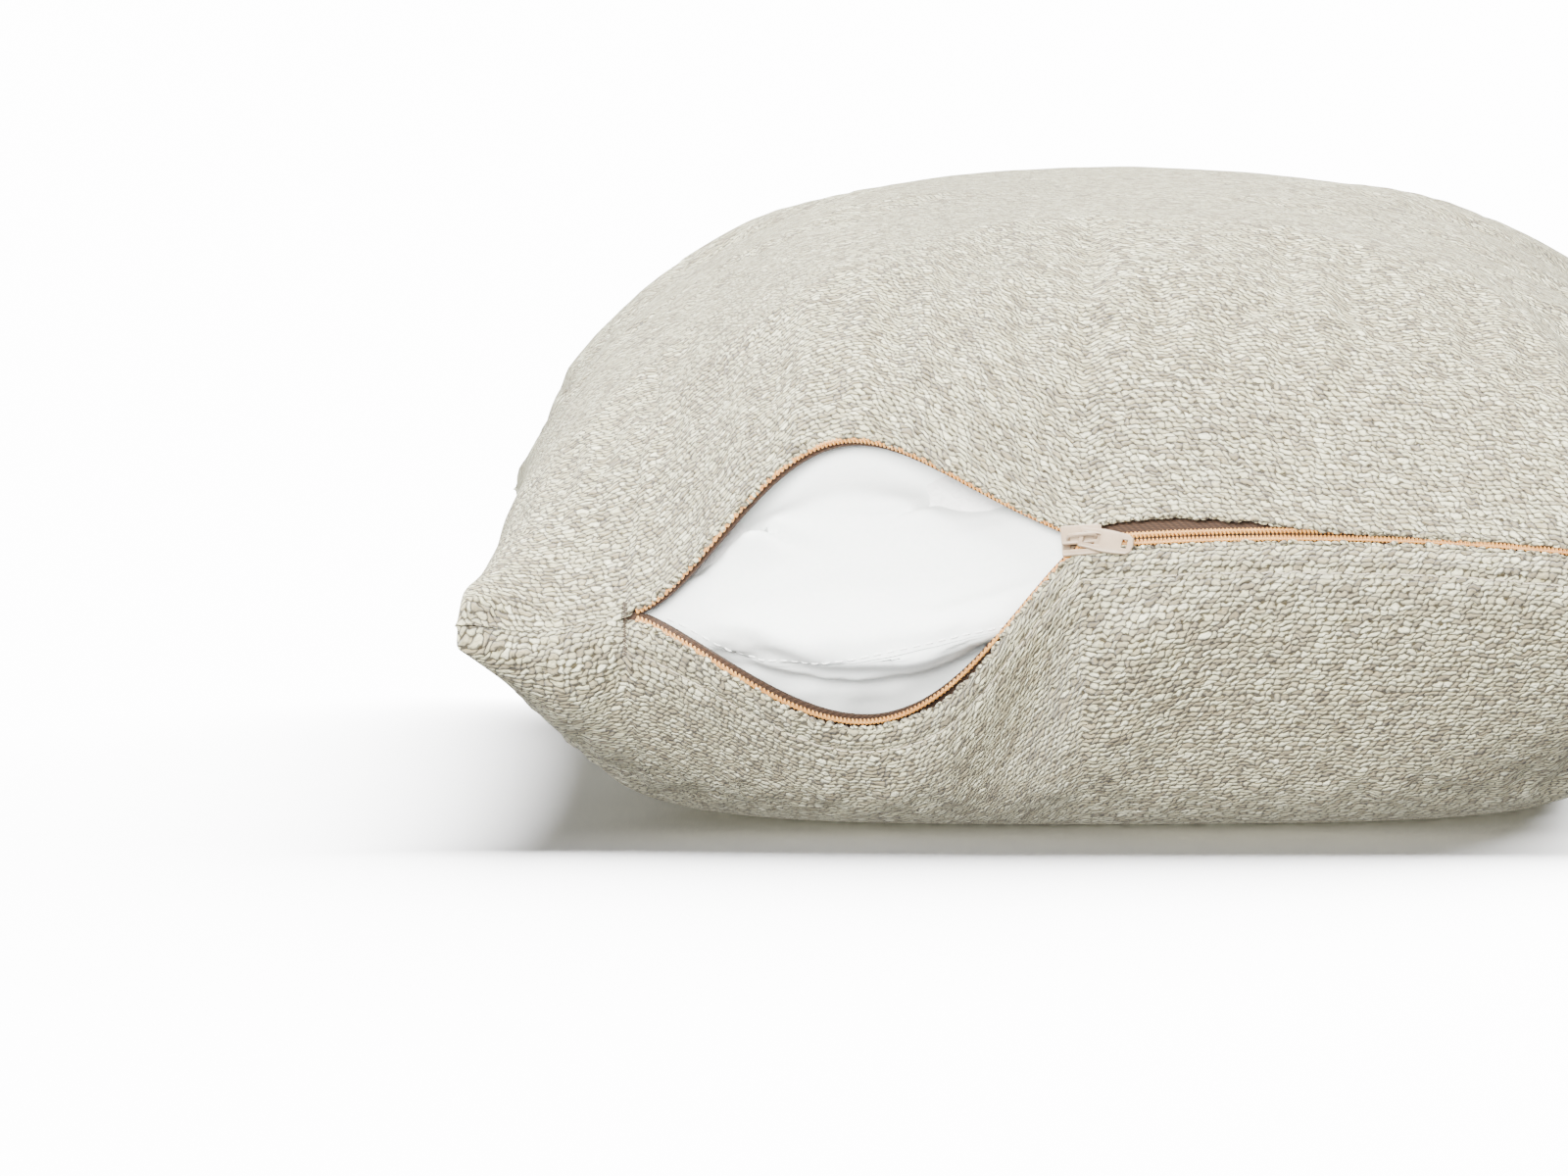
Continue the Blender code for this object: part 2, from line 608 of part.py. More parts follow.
def make_zip_pull(finish, group, tools):
    """Empties carry the pull: a far pivot that the slider swings about, then the tab's hinge."""
    turn = math.asin((SLIDER_X - ZIP_APEX_X) / ZIP_ARC_RADIUS)
    front_y = COIL_MIDDLE - CORNER_HALF_LENGTH + END_PULL_IN
    pivot_place = Matrix.Translation((ZIP_APEX_X, front_y, ZIP_APEX_HEIGHT - ZIP_ARC_RADIUS))
    pivot = empty("zip_travel_pivot", pivot_place @ Matrix.Rotation(turn, 4, "Y"), group)
    face_turn = Matrix.Rotation(math.pi / 2 - LEAN_ANGLE, 4, "X")
    seat = empty("slider_seat", Matrix.Translation((0, 0, ZIP_ARC_RADIUS)) @ face_turn, group, pivot)
    hinge = empty("pull_tab_hinge", Matrix.Translation((0, 0, TAB_AXIS_HEIGHT)), group, seat)
    make_slider(finish, group, tools, seat)
    make_pull_tab(finish, group, hinge)


def main():
    clear_scene()
    group = collection(COLLECTION)
    tools = collection("cutters")
    cover = material("cover_cloth", (0.66, 0.62, 0.54), 0.95)
    tape = material("zip_tape", (0.30, 0.18, 0.11), 0.85)
    coil = material("zip_coil", (0.78, 0.53, 0.34), 0.45)
    painted = material("slider_paint", (0.80, 0.70, 0.59), 0.35)
    thread = material("sewing_thread", (0.60, 0.56, 0.48), 0.80)
    case = material("inner_case_cloth", (0.86, 0.88, 0.87), 0.85)
    filling = material("polyester_fibre", (0.92, 0.92, 0.92), 1.0)

    make_cover_panel("cover_top_panel", 1, cover, group)
    make_cover_panel("cover_bottom_panel", -1, cover, group)
    make_cover_seams(thread, group)
    make_tape("zip_tape_upper", 1, tape, group)
    make_tape("zip_tape_lower", -1, tape, group)
    make_coil("zip_coil_upper", 1, coil, group)
    make_coil("zip_coil_lower", -1, coil, group)
    make_zip_stitching(thread, group)
    make_bar_tack("zip_start_bar_tack", ZIP_START_X - OPENING_RAMP - 2 * THREAD_RADIUS, thread, group)
    make_bar_tack("zip_end_bar_tack", ZIP_END_X + OPENING_RAMP + 2 * THREAD_RADIUS, thread, group)
    make_zip_pull(painted, group, tools)
    make_case_panel("inner_case_top_panel", 1, case, group)
    make_case_panel("inner_case_bottom_panel", -1, case, group)
    make_case_seams(thread, group)
    make_filling(filling, group)
    bpy.context.view_layer.update()


main()
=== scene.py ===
import json
import math

import bmesh
import bpy
import numpy as np
from mathutils import Matrix, Vector, kdtree


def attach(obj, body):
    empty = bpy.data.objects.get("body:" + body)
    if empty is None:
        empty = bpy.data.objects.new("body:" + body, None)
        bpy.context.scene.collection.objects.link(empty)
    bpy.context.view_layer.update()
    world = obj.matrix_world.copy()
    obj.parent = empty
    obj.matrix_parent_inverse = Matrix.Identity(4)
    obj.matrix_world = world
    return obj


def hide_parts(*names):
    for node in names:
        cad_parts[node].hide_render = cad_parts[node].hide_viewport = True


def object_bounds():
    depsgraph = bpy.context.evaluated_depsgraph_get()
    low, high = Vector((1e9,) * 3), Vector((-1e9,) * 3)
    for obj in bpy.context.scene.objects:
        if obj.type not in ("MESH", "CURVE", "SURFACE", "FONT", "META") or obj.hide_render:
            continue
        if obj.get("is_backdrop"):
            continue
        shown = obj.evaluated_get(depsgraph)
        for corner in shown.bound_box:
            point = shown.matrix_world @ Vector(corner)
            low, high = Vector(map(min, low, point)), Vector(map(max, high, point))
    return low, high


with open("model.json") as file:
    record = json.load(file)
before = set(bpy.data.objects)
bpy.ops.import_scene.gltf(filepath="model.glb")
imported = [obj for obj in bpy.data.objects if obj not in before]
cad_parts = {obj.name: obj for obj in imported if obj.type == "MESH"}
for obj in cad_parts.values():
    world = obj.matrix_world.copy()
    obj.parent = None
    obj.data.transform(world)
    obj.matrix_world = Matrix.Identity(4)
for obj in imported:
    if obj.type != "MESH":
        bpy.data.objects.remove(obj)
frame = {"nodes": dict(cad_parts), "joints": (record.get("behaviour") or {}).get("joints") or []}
cad_low, cad_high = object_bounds()

# ---- Room, light and camera ------------
# The cushion lies on a pale table in a white room.  A wide soft light hangs over it, a stronger
# one fills the zipped face, and a cool one rims its left side.  The table has a sun of its own.

LENS = 0.535                    # a long lens, so the far corner is hardly smaller than the near one
CAMERA_PLACE = (0.0, -5.45, 0.398)
CAMERA_PITCH = math.radians(-3.75)
CAMERA_YAW = math.radians(0.84)
TABLE_HALF_SIZE = 12.0
TABLE_SUN, TABLE_SUN_SPREAD = 92.0, math.radians(50)
TABLE_SUN_TURN = (math.radians(-57), math.radians(5), math.radians(-17))
ROOM_LOW, ROOM_HIGH = (-0.35, 1.10), (0.45, 0.45)       # height of the view, and the room's strength there


def shader_material(name):
    """A new material and its Principled shader."""
    finish = bpy.data.materials.new(name)
    finish.use_nodes = True
    return finish, finish.node_tree.nodes["Principled BSDF"]


def link_piece(name, data):
    piece = bpy.data.objects.new(name, data)
    bpy.context.scene.collection.objects.link(piece)
    return piece


def mesh_from(bm, name, smooth_angle=None):
    mesh = bpy.data.meshes.new(name)
    bm.to_mesh(mesh)
    bm.free()
    if smooth_angle is not None:
        mesh.shade_smooth()
        mesh.set_sharp_from_angle(angle=math.radians(smooth_angle))
    return mesh


camera_data = bpy.data.cameras.new("camera")
camera_data.sensor_width = 36.0
camera_data.lens = LENS * 1000
camera_data.clip_end = 50.0
camera = link_piece("camera", camera_data)
camera.location = CAMERA_PLACE
camera.rotation_euler = (math.pi / 2 + CAMERA_PITCH, 0.0, CAMERA_YAW)
bpy.context.scene.camera = camera

table_grid = bmesh.new()
bmesh.ops.create_grid(table_grid, x_segments=1, y_segments=1, size=TABLE_HALF_SIZE)
table = link_piece("table_top", mesh_from(table_grid, "table_top"))
table_white, table_shader = shader_material("table_white")
table_shader.inputs["Base Color"].default_value = (0.75, 0.75, 0.75, 1.0)
table_shader.inputs["Roughness"].default_value = 0.9
table.data.materials.append(table_white)
table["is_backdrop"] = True

all_but_table = bpy.data.collections.new("all_but_table")
all_but_table.objects.link(table)
all_but_table.collection_objects[0].light_linking.link_state = "EXCLUDE"


def soft_light(name, place, aim, size, power, colour=(1.0, 1.0, 1.0)):
    lamp = bpy.data.lights.new(name, "AREA")
    lamp.shape = "RECTANGLE"
    lamp.size, lamp.size_y = size
    lamp.energy = power
    lamp.color = colour
    light = link_piece(name, lamp)
    light.location = place
    light.rotation_euler = (Vector(aim) - Vector(place)).to_track_quat("-Z", "Y").to_euler()
    light.light_linking.receiver_collection = all_but_table


soft_light("overhead_softbox", (0.25, 0.2, 2.0), (0.05, -0.05, 0.0), (1.6, 1.6), 262.0, (1.0, 0.99, 0.955))
soft_light("front_fill", (-0.5, -2.7, 0.9), (0, -0.2, 0.06), (1.8, 1.2), 392.0, (1.0, 0.985, 0.945))
soft_light("left_rim", (-2.0, 0.9, 1.1), (0, 0, 0.08), (1.0, 1.4), 125.0, (0.90, 0.95, 1.0))

# The table's sun lights nothing else, and the other lamps leave the table out.  The cushion's
# shadow falls towards the viewer, and the bright table throws no light back on the cushion.
table_sun_data = bpy.data.lights.new("table_sun", "SUN")
table_sun_data.energy = TABLE_SUN
table_sun_data.angle = TABLE_SUN_SPREAD
table_sun = link_piece("table_sun", table_sun_data)
table_sun.rotation_euler = TABLE_SUN_TURN
lit_by_sun = bpy.data.collections.new("lit_by_table_sun")
lit_by_sun.objects.link(table)
table_sun.light_linking.receiver_collection = lit_by_sun
table.visible_diffuse = False
table.visible_glossy = False

world = bpy.data.worlds.new("white_room")
bpy.context.scene.world = world
world.use_nodes = True
sky = world.node_tree
toward = sky.nodes.new("ShaderNodeTexCoord")
heights = sky.nodes.new("ShaderNodeSeparateXYZ")
shading = sky.nodes.new("ShaderNodeMapRange")
for end, (height, strength) in (("Min", ROOM_LOW), ("Max", ROOM_HIGH)):
    shading.inputs["From " + end].default_value = height
    shading.inputs["To " + end].default_value = strength
sky.links.new(toward.outputs["Generated"], heights.inputs[0])
sky.links.new(heights.outputs["Z"], shading.inputs["Value"])
sky.links.new(shading.outputs["Result"], sky.nodes["Background"].inputs["Strength"])
sky.nodes["Background"].inputs["Color"].default_value = (1.0, 1.0, 1.0, 1.0)

# ---- Cover ------------
# Two panels of heavy woven melange cloth, sewn face to face round the edge and turned, so the
# seam is a plain knife edge.  The stuffing swells them, and draws the edges in between the
# corners.  Along the zip each panel is folded back, and the fold follows the lip of the mouth.

CORNER_HALF_WIDTH = (cad_high[0] - cad_low[0]) / 2
CORNER_HALF_LENGTH = cad_high[1]
SIDE_PULL_IN = 0.010
END_PULL_IN = 0.008
SEAM_HEIGHT = 0.060
CORNER_HEIGHT = 0.0485
CROWN_RISE = 0.075
BELLY_DROP = 0.090
FLOOR_ROUNDING = 0.012
CROSS_POWER, LENGTH_POWER, EDGE_POWER = 2.4, 5.0, 0.58
FACE_LEAN, LEAN_HEIGHT = 0.008, 0.014
COVER_THICKNESS = 0.0018

travel = next(joint for joint in frame["joints"] if joint["name"] == "zip_travel")
ZIP_CENTRE_X, ZIP_PLANE_Y, ZIP_CENTRE_Z = travel["pos_m"]
ZIP_RADIUS = 0.606
ZIP_HALF_SPAN = CORNER_HALF_WIDTH - 0.0395
ZIP_START_X, ZIP_END_X = -ZIP_HALF_SPAN, ZIP_HALF_SPAN
MOUTH_END_X = -0.0093
LIP_SIZE = {1: 0.0281, -1: 0.0345}
LIP_SKEW = {1: 0.867, -1: 1.088}
LIP_POWERS = {1: (2.0, 1.15), -1: (1.1, 1.35)}
SEAM_GAP = 0.00006


def smoothstep(x):
    x = np.clip(x, 0.0, 1.0)
    return x * x * (3.0 - 2.0 * x)


def zip_line_height(x):
    return ZIP_CENTRE_Z + np.sqrt(ZIP_RADIUS ** 2 - (x - ZIP_CENTRE_X) ** 2)


def rounded_spacing(count):
    """Places from -1 to 1 that crowd towards both ends."""
    return -np.cos(math.pi * np.arange(count + 1) / count)


def seam_height(x, t):
    s = x / CORNER_HALF_WIDTH
    droop = SEAM_HEIGHT - CORNER_HEIGHT
    past_zip = smoothstep((np.abs(x) - ZIP_HALF_SPAN) / (CORNER_HALF_WIDTH - ZIP_HALF_SPAN))
    front = zip_line_height(x) * (1.0 - past_zip) + CORNER_HEIGHT * past_zip
    raised = front - SEAM_HEIGHT + droop * s ** 4
    return SEAM_HEIGHT - droop * (s * t) ** 4 + raised * ((1.0 - t) / 2.0) ** 8


def across_fullness(s):
    return np.maximum(1.0 - np.abs(s) ** CROSS_POWER, 0.0) ** EDGE_POWER


def along_fullness(t):
    return np.maximum(1.0 - np.abs(t) ** LENGTH_POWER, 0.0) ** EDGE_POWER


def rest_on(height, floor):
    above = height - floor
    rounded = floor + np.maximum(above + FLOOR_ROUNDING, 0.0) ** 2 / (4.0 * FLOOR_ROUNDING)
    return np.where(above >= FLOOR_ROUNDING, height, rounded)


def form_point(s, t, side, sides=0.0, ends=0.0, top=0.0, belly=0.0, base=0.0, lift=0.0):
    """Points of the pillow form, drawn in by a layer's insets, as an array of x, y, z."""
    half_width = CORNER_HALF_WIDTH - sides - SIDE_PULL_IN * (1.0 - t ** 4)
    half_length = CORNER_HALF_LENGTH - ends - END_PULL_IN * (1.0 - s ** 10)
    swell = across_fullness(s) * along_fullness(t)
    x = s * half_width
    seam = seam_height(x, t)
    edge = SEAM_GAP / 2 + lift * (s * t) ** 12
    if side > 0:
        z = seam + edge + (CROWN_RISE - top) * swell
    else:
        z = rest_on(seam - edge - (BELLY_DROP - belly) * swell, base)
    lean = FACE_LEAN * np.tanh((z - seam) / LEAN_HEIGHT) * ((1.0 - t) / 2.0) ** 6
    return np.stack([x, t * half_length + lean, z], axis=-1)


def cover_point(s, t, side, depth=0.0):
    lift = 0.5 * min(depth, COVER_THICKNESS - depth)
    return form_point(s, t, side, depth, depth, depth, depth, depth, lift)


def front_t(s, offset, side):
    reach = CROWN_RISE if side > 0 else BELLY_DROP
    share = np.maximum(offset - SEAM_GAP / 2, 0.0) / (reach * np.maximum(across_fullness(s), 0.3))
    return -(1.0 - share ** (1.0 / EDGE_POWER)) ** (1.0 / LENGTH_POWER)


def lip_offset(x, side):
    """How far the coil stands off the closed zip line."""
    share = np.clip((x - ZIP_START_X) / (MOUTH_END_X - ZIP_START_X), 0.0, 1.0)
    first, last = LIP_POWERS[side]
    power = first + (last - first) * share ** 2
    wave = np.maximum(np.sin(math.pi * share ** LIP_SKEW[side]), 0.0)
    return LIP_SIZE[side] * wave ** power


def front_point(x, offset, side, depth=0.0):
    """A point of the zipped face, this far above or below the closed zip line."""
    s = x / CORNER_HALF_WIDTH
    return cover_point(s, front_t(s, offset, side), side, depth)


# The fold of each flap: on the mouth it stops on the coil; right of the slider the upper flap
# gapes over the tape, then closes over the chain, and the lower one lies close under it.
FOLD_SETBACK_MOUTH = {1: 0.0014, -1: 0.0017}
UPPER_FOLD_BY_SLIDER, UPPER_FOLD_FAR = 0.0044, 0.0003
LOWER_FOLD_SETBACK = 0.0020
RAMP = 0.0016


def fold_setback(x, side):
    opened = smoothstep((ZIP_HALF_SPAN + RAMP - np.abs(x)) / RAMP)
    on_chain = smoothstep((x - MOUTH_END_X + 0.005) / 0.014)
    if side > 0:
        far = smoothstep((x - 0.006) / 0.052)
        chain = UPPER_FOLD_BY_SLIDER * (1.0 - far) + UPPER_FOLD_FAR * far
    else:
        chain = LOWER_FOLD_SETBACK
    setback = FOLD_SETBACK_MOUTH[side] * (1.0 - on_chain) + chain * on_chain
    ragged = 0.00022 * value_noise(71 + side, x / 0.0019 + 200, 3.0 + 0 * x)
    return SEAM_GAP / 2 + (setback + ragged) * opened


SIDE_COLUMNS, ZIP_COLUMNS = 34, 230
FOLD_ROWS, BODY_ROWS = 18, 100
FOLD_DEPTH = 0.014


def panel_columns():
    tail = ZIP_HALF_SPAN + RAMP
    rim = 1.0 - np.cos(np.pi / 2 * np.arange(SIDE_COLUMNS) / SIDE_COLUMNS)
    reach = CORNER_HALF_WIDTH - tail
    left = -CORNER_HALF_WIDTH + reach * rim
    middle = np.linspace(-tail, tail, ZIP_COLUMNS + 1)
    return np.concatenate([left, middle, -left[::-1]]) / CORNER_HALF_WIDTH


def fold_steps():
    return (np.arange(FOLD_ROWS) / FOLD_ROWS) ** 1.8


def panel_rows(s, side):
    """t at every (column, row) of a cover panel."""
    x = s * CORNER_HALF_WIDTH
    edge = fold_setback(x, side) + lip_offset(x, side)
    offsets = edge[:, None] + FOLD_DEPTH * fold_steps()[None, :]
    fold = front_t(s[:, None], offsets, side)
    start = np.arccos(-front_t(s, edge + FOLD_DEPTH, side)) / math.pi
    share = np.arange(BODY_ROWS + 1) / BODY_ROWS
    body = -np.cos(math.pi * (start[:, None] + (1.0 - start[:, None]) * share[None, :]))
    return np.concatenate([fold, body], axis=1)


LATTICE_SHARP_ANGLE = 60


def lattice(columns, rows, place, uv, flipped, name):
    """A slab of cloth: a bmesh grid whose points are moved to place[layer, column, row]."""
    bm = bmesh.new()
    bmesh.ops.create_grid(bm, x_segments=columns, y_segments=rows, size=1.0)
    made = bmesh.ops.extrude_face_region(bm, geom=bm.faces[:], use_keep_orig=True)
    upper = [part for part in made["geom"] if isinstance(part, bmesh.types.BMVert)]
    bmesh.ops.translate(bm, verts=upper, vec=(0.0, 0.0, 1.0))
    bmesh.ops.recalc_face_normals(bm, faces=bm.faces[:])
    if flipped:
        bmesh.ops.reverse_faces(bm, faces=bm.faces[:])
    mesh = mesh_from(bm, name)
    flat = np.empty(len(mesh.vertices) * 3)
    mesh.vertices.foreach_get("co", flat)
    flat = flat.reshape(-1, 3)
    i = np.rint((flat[:, 0] + 1.0) / 2.0 * columns).astype(int)
    j = np.rint((flat[:, 1] + 1.0) / 2.0 * rows).astype(int)
    k = np.rint(flat[:, 2]).astype(int)
    mesh.vertices.foreach_set("co", place[k, i, j].ravel())
    if uv is not None:
        corners = np.empty(len(mesh.loops), dtype=int)
        mesh.loops.foreach_get("vertex_index", corners)
        layer = mesh.uv_layers.new(name="cut_cloth")
        layer.data.foreach_set("uv", uv[i[corners], j[corners]].astype(np.float32).ravel())
    mesh.update()
    mesh.shade_smooth()
    mesh.set_sharp_from_angle(angle=math.radians(LATTICE_SHARP_ANGLE))
    return mesh


def cut_coordinates(place):
    """Lengths along the cloth itself: across from the middle column, and back from the front edge."""
    across = np.linalg.norm(np.diff(place, axis=0), axis=-1)
    u = np.concatenate([np.zeros((1, place.shape[1])), np.cumsum(across, axis=0)])
    u -= u[place.shape[0] // 2][None, :]
    back = np.linalg.norm(np.diff(place, axis=1), axis=-1)
    v = np.concatenate([np.zeros((place.shape[0], 1)), np.cumsum(back, axis=1)], axis=1)
    return np.stack([u, v], axis=-1)


def value_noise(seed, p, q):
    """Smooth noise from -1 to 1 on the plane, the same on every run."""
    grid = np.random.default_rng(seed).uniform(-1.0, 1.0, (64, 64))
    i, j = np.floor(p).astype(int), np.floor(q).astype(int)
    fp, fq = smoothstep(p - i), smoothstep(q - j)
    a, b = grid[i % 64, j % 64], grid[(i + 1) % 64, j % 64]
    c, d = grid[i % 64, (j + 1) % 64], grid[(i + 1) % 64, (j + 1) % 64]
    return (a * (1 - fp) + b * fp) * (1 - fq) + (c * (1 - fp) + d * fp) * fq


def surface_normals(place, side):
    along_s = np.gradient(place, axis=0)
    along_t = np.gradient(place, axis=1)
    normal = np.cross(along_s, along_t) * side
    size = np.linalg.norm(normal, axis=-1, keepdims=True)
    return normal / np.maximum(size, 1e-12)


def blurred(field, reach):
    """A box average over each axis of a grid, with its edges repeated."""
    kernel = np.ones(2 * reach + 1) / (2 * reach + 1)
    for axis in (0, 1):
        padded = np.concatenate([np.repeat(field.take([0], axis), reach, axis), field,
                                 np.repeat(field.take([-1], axis), reach, axis)], axis)
        field = np.apply_along_axis(lambda line: np.convolve(line, kernel, "valid"), axis, padded)
    return field


SETTLE_COLUMNS, SETTLE_ROWS = 60, 96
SETTLE_FRAMES = 20
SETTLE_COARSE = 6               # lattice steps over which the broad swelling is averaged, and taken out
SETTLE_WELD = 0.0008
SETTLING_CLOTH = {"quality": 5, "mass": 0.12, "tension_stiffness": 20.0, "compression_stiffness": 20.0,
                  "shear_stiffness": 8.0, "bending_stiffness": 0.15, "use_pressure": True,
                  "uniform_pressure_force": 4.0}


def settled_wrinkles(name, form, spare_cloth, cap, held):
    """Blows a plain pillow of cloth up with Blender's Cloth and keeps the wrinkles it settles into.

    form(s, t, side) gives the pillow's points and held(x, y, z) how firmly each stays put.  The
    result is a function of s, t and side: metres outwards along the surface."""
    grid_s, grid_t = np.meshgrid(rounded_spacing(SETTLE_COLUMNS), rounded_spacing(SETTLE_ROWS), indexing="ij")
    place = np.stack([form(grid_s, grid_t, -1), form(grid_s, grid_t, 1)])
    tables = np.zeros(place.shape[:3])
    pillow = link_piece(name, lattice(SETTLE_COLUMNS, SETTLE_ROWS, place, None, False, name))
    welded = bmesh.new()
    welded.from_mesh(pillow.data)
    bmesh.ops.remove_doubles(welded, verts=welded.verts[:], dist=SETTLE_WELD)
    welded.to_mesh(pillow.data)
    welded.free()
    start = np.array([vertex.co for vertex in pillow.data.vertices])
    grip = pillow.vertex_groups.new(name="held")
    for i, weight in enumerate(held(*start.T)):
        grip.add([i], float(weight), "REPLACE")
    cloth = pillow.modifiers.new("settle", "CLOTH")
    for setting, value in SETTLING_CLOTH.items():
        setattr(cloth.settings, setting, value)
    cloth.settings.shrink_min = -spare_cloth
    cloth.settings.vertex_group_mass = "held"
    cloth.settings.effector_weights.gravity = 0.0
    cloth.collision_settings.use_collision = False
    cloth.point_cache.frame_end = SETTLE_FRAMES
    for step in range(1, SETTLE_FRAMES + 1):
        bpy.context.scene.frame_set(step)
    rested = pillow.evaluated_get(bpy.context.evaluated_depsgraph_get()).to_mesh()
    end = np.array([vertex.co for vertex in rested.vertices])
    bpy.context.scene.frame_set(1)
    nearest = kdtree.KDTree(len(start))
    for i, point in enumerate(start):
        nearest.insert(point, i)
    nearest.balance()
    for k in (0, 1):
        outward = surface_normals(place[k], 2 * k - 1)
        found = np.array([nearest.find(point)[1] for point in place[k].reshape(-1, 3)])
        moved = (end - start)[found].reshape(place[k].shape)
        along = np.nan_to_num((moved * outward).sum(axis=-1))
        tables[k] = np.clip(along - blurred(along, SETTLE_COARSE), -cap, cap)
    bpy.data.objects.remove(pillow)

    def shift(s, t, side):
        i = np.arccos(np.clip(-s, -1.0, 1.0)) / math.pi * SETTLE_COLUMNS
        j = np.arccos(np.clip(-t, -1.0, 1.0)) / math.pi * SETTLE_ROWS
        i0 = np.minimum(i.astype(int), SETTLE_COLUMNS - 1)
        j0 = np.minimum(j.astype(int), SETTLE_ROWS - 1)
        fi, fj = smoothstep(i - i0), smoothstep(j - j0)
        table = tables[(side + 1) // 2]
        near = table[i0, j0] * (1 - fi) + table[i0 + 1, j0] * fi
        far = table[i0, j0 + 1] * (1 - fi) + table[i0 + 1, j0 + 1] * fi
        return near * (1 - fj) + far * fj
    return shift


def held_by_zip(x, y, z):
    """The zipped face keeps its drawn shape; the rest of the pillow is free to wrinkle."""
    return smoothstep((-0.185 - y) / 0.040)


cover_wrinkles = settled_wrinkles("cover_settling", form_point, 0.03, 0.0030, held_by_zip)

TOPSTITCH_FROM_FOLD = 0.0066
VALLEY_REACH = 0.052            # how far below the zip line the valley under the slider runs


def cloth_relief(place, s, t, side):
    """Height of the soft waves, seam puckers and stitched valleys over a panel, in metres."""
    x, y, z = place[..., 0], place[..., 1], place[..., 2]
    from_side = (1.0 - np.abs(s)) * CORNER_HALF_WIDTH
    from_end = (1.0 - np.abs(t)) * CORNER_HALF_LENGTH
    settle = smoothstep(from_side / 0.010) * smoothstep(from_end / 0.012)
    waves = 0.0010 * value_noise(11 + side, x / 0.055 + 20, y / 0.075 + 20)
    waves += 0.0004 * value_noise(21 + side, x / 0.021 + 20, y / 0.026 + 20)
    side_gather = value_noise(31 + side, y / 0.012 + 30, 10 + 3 * np.sign(s)) * np.exp(-from_side / 0.018)
    back_gather = value_noise(41 + side, x / 0.012 + 30, 5.0 + 0 * x) * np.exp(-from_end / 0.018) * (t > 0)
    relief = (waves + cover_wrinkles(s, t, side)) * settle
    relief += 0.0013 * side_gather * smoothstep(from_side / 0.004)
    relief += 0.0013 * back_gather * smoothstep(from_end / 0.004)
    tip = smoothstep(from_side / 0.0025) * smoothstep(from_end / 0.0025)
    relief += 0.0038 * np.exp(-(from_side ** 2 + from_end ** 2) / 0.015 ** 2) * tip
    from_zip = np.abs(z - zip_line_height(x))
    front = smoothstep((-0.80 - t) / 0.12)
    if side > 0:
        # The upper flap is puffed over the gaping part of the zip, and its edge is a soft roll.
        roll = 0.0011 * np.exp(-((x - 0.022) / 0.030) ** 2) * np.exp(-from_zip / 0.007)
        return relief + roll * front
    # A valley runs down from the slider to the belly, with a soft swelling on each side of it.
    below = zip_line_height(x) - z
    centre = MOUTH_END_X + 0.004 - 0.42 * below
    run = smoothstep((below - 0.012) / 0.012) * smoothstep((VALLEY_REACH + 0.012 - below) / 0.022)
    valley = -0.0018 * np.exp(-((x - centre) / 0.0065) ** 2)
    swelling = 0.0046 * np.exp(-((x - centre - 0.018) / 0.012) ** 2)
    swelling += 0.0034 * np.exp(-((x - centre + 0.017) / 0.010) ** 2)
    # The stitched end of the zip draws a curved crease into the corner, which pouches out beside it.
    crease_at = ZIP_START_X - 0.0020 - 12.0 * np.maximum(below - 0.004, 0.0) ** 2
    crease = -0.0017 * np.exp(-((x - crease_at) / 0.0016) ** 2)
    crease = crease + 0.0019 * np.exp(-((x - crease_at + 0.009) / 0.0065) ** 2)
    crease *= smoothstep((0.026 - below) / 0.014) * front
    on_floor = smoothstep(z / 0.010)
    return (relief + crease + (valley + swelling) * run * front) * on_floor


def topstitch_groove(t, edge_distance, side):
    """The lower flap is drawn in under its stitches and puffs up between them and the fold."""
    if side > 0:
        return 0.0
    pulled = -0.0008 * np.exp(-((edge_distance - TOPSTITCH_FROM_FOLD) / 0.0007) ** 2)
    puffed = 0.00035 * np.exp(-((edge_distance - 0.55 * TOPSTITCH_FROM_FOLD) / 0.0022) ** 2)
    return pulled + puffed


def make_cover_panel(side, name):
    s = panel_columns()
    t = panel_rows(s, side)
    grid_s = np.broadcast_to(s[:, None], t.shape)
    outer = cover_point(grid_s, t, side)
    inner = cover_point(grid_s, t, side, COVER_THICKNESS)
    cut = cut_coordinates(outer)
    normals = surface_normals(outer, side)
    x = grid_s * CORNER_HALF_WIDTH
    zipped = smoothstep((ZIP_HALF_SPAN + RAMP - np.abs(x)) / RAMP)
    relief = cloth_relief(outer, grid_s, t, side) + topstitch_groove(t, cut[..., 1], side) * zipped
    shift = normals * relief[..., None]
    # The fold itself is a half-round roll of the cloth.
    roll = COVER_THICKNESS / 2
    short = np.clip(1.0 - cut[..., 1] / roll, 0.0, 1.0)
    rounding = normals * (roll * (1.0 - np.sqrt(1.0 - short ** 2)) * 0.92 * zipped)[..., None]
    place = np.stack([outer + shift - rounding, inner + shift + rounding])
    mesh = lattice(t.shape[0] - 1, t.shape[1] - 1, place, cut, side > 0, name)
    return link_piece(name, mesh), place, cut


